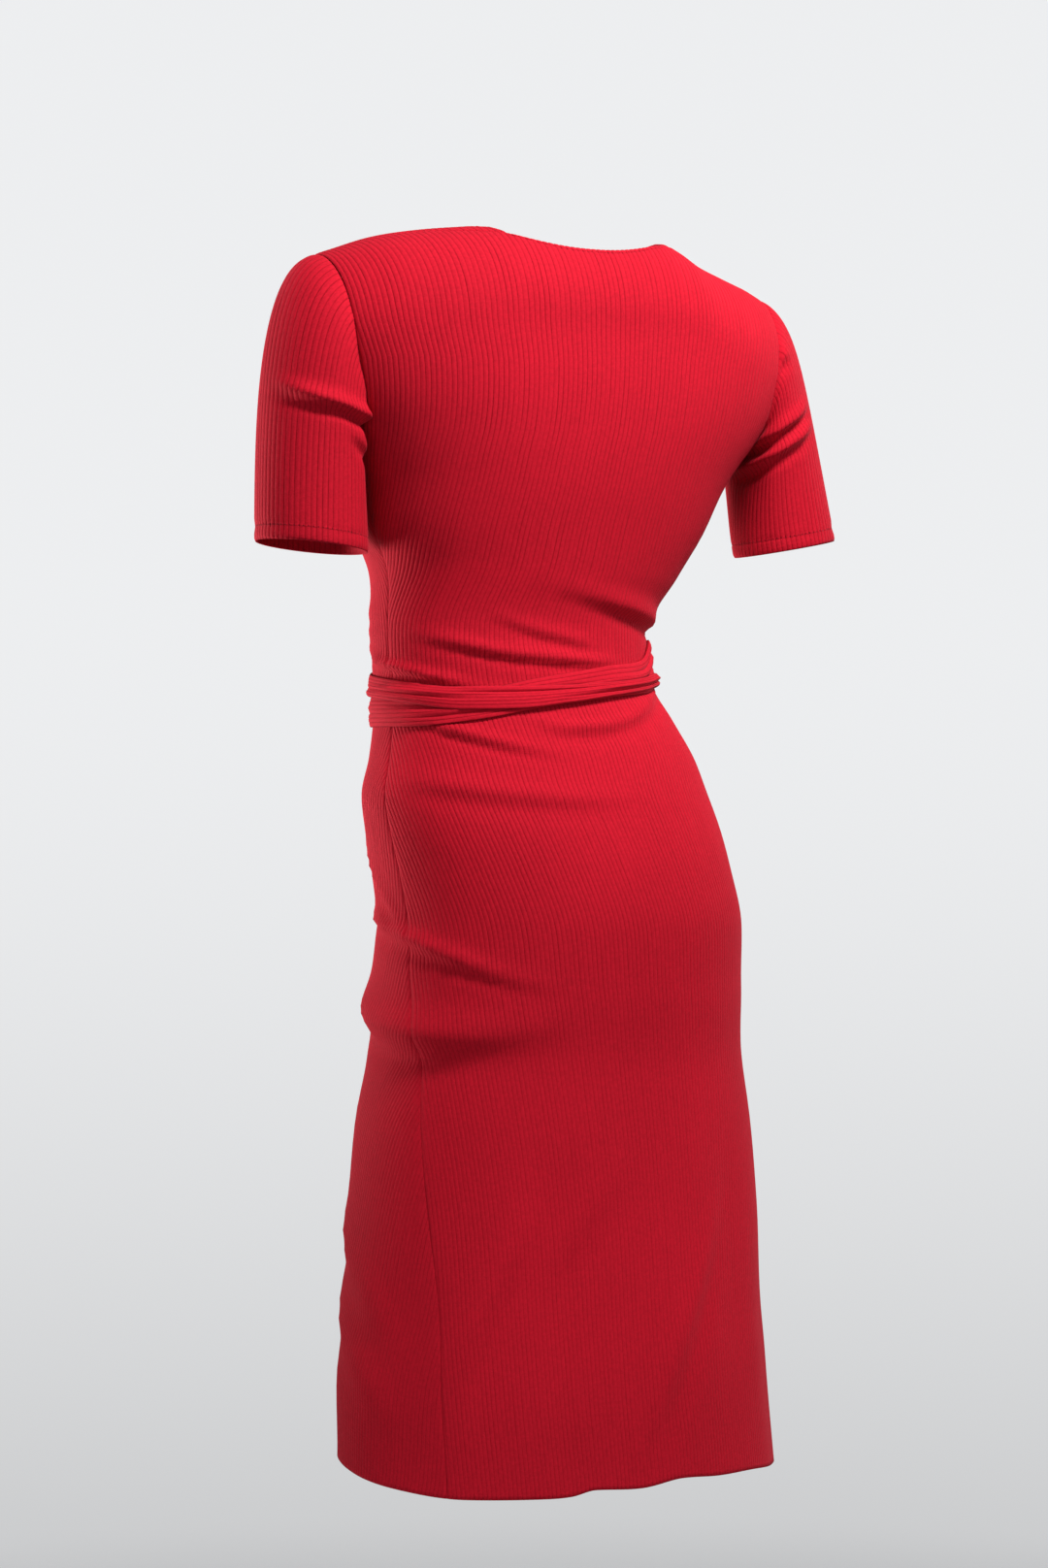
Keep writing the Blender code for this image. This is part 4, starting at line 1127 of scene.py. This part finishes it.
def tie_end(kind):
    """A tie's free end, from under the knot down the front, with a gentle wave and a hemmed tip."""
    across, crown = (values[None, :] for values in tie_columns())
    side = -1.0 if kind == "over" else 1.0
    t = np.linspace(0.0, 1.0, END_ROWS)[:, None]
    down = END_LENGTH[kind] * t
    level = KNOT_Z - KNOT_SIZE[2] / 2 - END_START - down
    angle = KNOT_ANGLE + side * (4.0 + 5.0 * smooth_step(t, 0.0, 0.4) + 3.0 * t)
    half = END_TOP_HALF + (END_HALF - END_TOP_HALF) * smooth_step(t, 0.0, 0.35)
    out = OVERLAP_LIFT + END_CLEAR + TIE_WALL - 0.001 * np.abs(across) ** 7
    out = out + 0.0012 * np.sin(9.0 * t + side) * (1.0 - 0.5 * t)
    out = out + 0.0008 * across * np.sin(13.0 * t)
    out = out + 0.001 * np.cos(across * 8.0) * (1.0 - smooth_step(t, 0.0, 0.3))
    out = out - END_HEM_DEPTH * bell((1.0 - t) * END_LENGTH[kind] - END_HEM, END_HEM_WIDTH)
    out = out + TIE_RIB_DEPTH * crown
    points = body_point(angle + np.degrees(half / END_RADIUS) * across, level, out)
    width = (across + 1.0) / 2.0 * TIE_RIBS * RIB_PITCH
    grains = np.stack(np.broadcast_arrays(width, down), axis=-1)
    name = "cloth_tie_end_" + kind
    return grid_object(name, points, grains, far_from_edges(points), TIE_SHELL, inward=True)


class Nodes:
    """Short ways to add shader nodes to a material or the world."""

    def __init__(self, owner, shader="Principled BSDF"):
        owner.use_nodes = True
        self.tree = owner.node_tree
        self.shader = self.tree.nodes[shader]

    def link(self, output, target):
        self.tree.links.new(output, target)

    def feed(self, socket, value):
        if isinstance(value, bpy.types.NodeSocket):
            self.link(value, socket)
        else:
            socket.default_value = value

    def add(self, kind, inputs, **settings):
        """Adds a node, feeds its inputs by their names or numbers, and gives its outputs."""
        node = self.tree.nodes.new("ShaderNode" + kind)
        for name, value in settings.items():
            setattr(node, name, value)
        for socket, value in inputs.items():
            self.feed(node.inputs[socket], value)
        return node.outputs

    def math(self, operation, *values):
        return self.add("Math", dict(enumerate(values)), operation=operation)[0]

    def smooth(self, value, low, high, to_low=0.0, to_high=1.0):
        inputs = {"Value": value, "From Min": low, "From Max": high, "To Min": to_low, "To Max": to_high}
        return self.add("MapRange", inputs, interpolation_type="SMOOTHSTEP")[0]

    def layer(self, name):
        split = self.add("SeparateXYZ", {0: self.add("UVMap", {}, uv_map=name)[0]})
        return split[0], split[1]

    def place(self, output):
        return self.add("TexCoord", {})[output]

    def noise(self, vector, scale, detail):
        return self.add("TexNoise", {"Scale": scale, "Detail": detail, "Vector": vector})[0]

    def vector(self, x, y):
        return self.add("CombineXYZ", {0: x, 1: y})[0]

    def mix(self, share, first, second):
        return self.add("Mix", {"Factor": share, 6: first, 7: second}, data_type="RGBA")[2]

    def scaled(self, colour, factor):
        return self.add("VectorMath", {0: colour, "Scale": factor}, operation="SCALE")[0]

    def bump(self, height, distance):
        return self.add("Bump", {"Distance": distance, "Strength": 1.0, "Height": height})[0]


def jersey(name):
    """Rib jersey: flat crowns, painted shade in the grooves, rows of small loops, a soft nap and stitched
    edges whose pits and line carry painted shade.
    """
    material = bpy.data.materials.new(name)
    n = Nodes(material)
    width, along = n.layer("grain")
    ribs = n.math("DIVIDE", width, RIB_PITCH)
    phase = n.math("PINGPONG", ribs, 0.5)
    # painted shade in the grooves between the ribs, uneven along each groove and weaker low on the skirt
    streaks = n.noise(n.vector(ribs, n.math("MULTIPLY", along, 9.0)), 1.0, 1.0)
    depth = n.smooth(streaks, 0.3, 0.7, 0.45, 1.0)
    depth = n.math("MULTIPLY", depth, n.smooth(along, -0.75, -0.45, 0.6, 1.0))
    groove_shade = n.math("MULTIPLY", n.smooth(phase, 0.02, 0.15, 1.0, 0.0), depth)
    crown = n.math("SUBTRACT", 1.0, groove_shade)
    bowed = n.math("ADD", along, n.math("MULTIPLY", phase, 0.0016))
    loops = n.math("SINE", n.math("MULTIPLY", bowed, 2 * math.pi / KNIT_ROW))
    distance, run = n.layer("edge")
    near = n.math("ABSOLUTE", n.math("SUBTRACT", distance, STITCH_FROM_EDGE))
    line = n.smooth(near, 0.00035, 0.0009, 1.0, 0.0)
    dash = n.smooth(n.math("PINGPONG", n.math("DIVIDE", run, STITCH_LENGTH), 0.5), 0.05, 0.14)
    thread = n.math("MULTIPLY", line, dash)
    pit = n.math("MULTIPLY", line, n.math("SUBTRACT", 1.0, dash))
    broad = n.noise(n.place("Object"), 5.0, 2.0)
    fine = n.noise(n.place("Object"), 420.0, 1.0)
    shade = n.math("ADD", n.smooth(broad, 0.3, 0.7, 0.93, 1.05), n.smooth(fine, 0.3, 0.7, -0.07, 0.07))
    shade = n.math("ADD", shade, n.math("MULTIPLY", loops, 0.03))
    # painted shade: the stitching's pits, and more faintly its whole line, are darkened
    sewn = n.math("ADD", pit, n.math("MULTIPLY", line, 0.35))
    shade = n.math("SUBTRACT", shade, n.math("MULTIPLY", sewn, 0.5))
    colour = n.scaled(n.mix(crown, GROOVE_SHADE_RED, RED), shade)
    n.link(colour, n.shader.inputs["Base Color"])
    relief = n.math("ADD", n.math("MULTIPLY", crown, 1.8), n.math("MULTIPLY", loops, 0.5))
    relief = n.math("ADD", relief, n.math("MULTIPLY", fine, 0.8))
    raised = n.math("SUBTRACT", n.math("MULTIPLY", thread, 1.6), n.math("MULTIPLY", pit, 2.0))
    relief = n.math("ADD", relief, raised)
    n.link(n.bump(relief, RELIEF), n.shader.inputs["Normal"])
    for socket, value in (
        ("Roughness", 0.8),
        ("Specular IOR Level", 0.05),
        ("Sheen Weight", 0.09),
        ("Sheen Roughness", 0.38),
        ("Sheen Tint", (1.0, 0.26, 0.34, 1.0)),
    ):
        n.shader.inputs[socket].default_value = value
    return material


def dress(piece, material):
    """Puts a cloth piece in place of the solid that it is named after."""
    piece.data.materials.append(material)
    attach(piece, "root")
    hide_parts(piece.name.removeprefix("cloth_"))


def build_dress():
    """Every piece, dressed in jersey. Beside each stand the width, length and, where it isn't a rectangle,
    area of its flat cloth, which nothing reads.
    """
    body, tie = jersey("rib_jersey"), jersey("rib_tie")
    for piece, flat, area in (
        (back_panel(), (0.51, 1.08), 0.455),
        (front_panel("under"), (0.5, 1.12), 0.362),
        (front_panel("over"), (0.37, 1.13), 0.294),
        (sleeve("left"), (0.31, 0.25), 0.052),
        (sleeve("right"), (0.3, 0.23), 0.048),
    ):
        dress(piece, body)
    for piece, flat, held in (
        (slit_strip(), (0.03, 0.373), "stretched"),
        (tie_stretch("under_front", UNDER_JOIN, TIE_UNDER[-1].angle), (0.028, 0.161), "stretched"),
        (tie_stretch("over_back", TIE_OVER[0].angle, OVER_JOIN), (0.02, 0.427), "stretched"),
        (tie_stretch("over_front", OVER_JOIN, TIE_OVER[-1].angle), (0.025, 0.137), "stretched"),
        (knot(), (0.05, 0.06), "gathered"),
        (tie_end("over"), (0.039, END_LENGTH["over"]), "hung"),
        (tie_end("under"), (0.041, END_LENGTH["under"]), "hung"),
    ):
        dress(piece, tie)


def view_axes():
    """Unit vectors to the picture's right and toward the camera."""
    turn = math.radians(VIEW_DEGREES)
    return Vector((-math.cos(turn), math.sin(turn), 0.0)), Vector((math.sin(turn), math.cos(turn), 0.0))


def add_camera():
    right, toward = view_axes()
    data = bpy.data.cameras.new("camera")
    data.lens = LENS
    data.sensor_fit = "VERTICAL"
    data.sensor_height = SENSOR
    camera = bpy.data.objects.new("camera", data)
    camera.location = right * VIEW_SHIFT + toward * VIEW_DISTANCE + Vector((0.0, 0.0, VIEW_HEIGHT))
    camera.rotation_euler = (-toward).to_track_quat("-Z", "Y").to_euler()
    bpy.context.scene.collection.objects.link(camera)
    bpy.context.scene.camera = camera


def add_lights():
    right, toward = view_axes()
    for row in LIGHTS:
        data = bpy.data.lights.new(row.name, "AREA")
        data.size = row.size
        data.energy = row.power
        data.spread = math.radians(row.spread)
        lamp = bpy.data.objects.new(row.name, data)
        lamp.location = right * row.right + toward * row.toward + Vector((0.0, 0.0, row.up))
        aim = Vector((0.0, 0.0, row.aim))
        lamp.rotation_euler = (aim - lamp.location).to_track_quat("-Z", "Y").to_euler()
        bpy.context.scene.collection.objects.link(lamp)


def add_world():
    """Pale surroundings, darker toward the ground and overhead."""
    world = bpy.data.worlds.new("studio")
    bpy.context.scene.world = world
    n = Nodes(world, "Background")
    height = n.add("SeparateXYZ", {0: n.place("Generated")})[2]
    horizon = n.smooth(height, -0.6, 0.06, 0.12, 0.87)
    overhead = n.smooth(height, 0.2, 0.42, 0.0, 0.62)
    n.link(n.math("SUBTRACT", horizon, overhead), n.shader.inputs["Strength"])
    n.shader.inputs["Color"].default_value = (0.975, 0.985, 1.0, 1.0)


def add_floor():
    """Pale floor whose rim fades out."""
    spot = (0.0, 0.0, FLOOR_Z)
    bpy.ops.mesh.primitive_circle_add(vertices=96, radius=1.9, fill_type="NGON", location=spot)
    floor = bpy.context.object
    floor.name = "floor"
    material = bpy.data.materials.new("floor_pale")
    n = Nodes(material)
    from_middle = n.add("VectorMath", {0: n.place("Object")}, operation="LENGTH")["Value"]
    n.link(n.smooth(from_middle, 0.9, 1.85, 1.0, 0.0), n.shader.inputs["Alpha"])
    n.shader.inputs["Base Color"].default_value = (0.7, 0.71, 0.72, 1.0)
    n.shader.inputs["Roughness"].default_value = 0.9
    floor.data.materials.append(material)


def visual_bounds():
    """Smallest and largest corner of every cloth piece together."""
    depsgraph = bpy.context.evaluated_depsgraph_get()
    corners = []
    for obj in bpy.data.objects:
        if obj.type == "MESH" and obj.name.startswith("cloth_"):
            shown = obj.evaluated_get(depsgraph)
            corners += [shown.matrix_world @ Vector(c) for c in shown.bound_box]
    values = np.array([tuple(c) for c in corners])
    return values.min(axis=0).tolist(), values.max(axis=0).tolist()


add_camera()
build_dress()
add_lights()
add_world()
add_floor()
bpy.context.scene.view_settings.view_transform = "Standard"

low, high = visual_bounds()
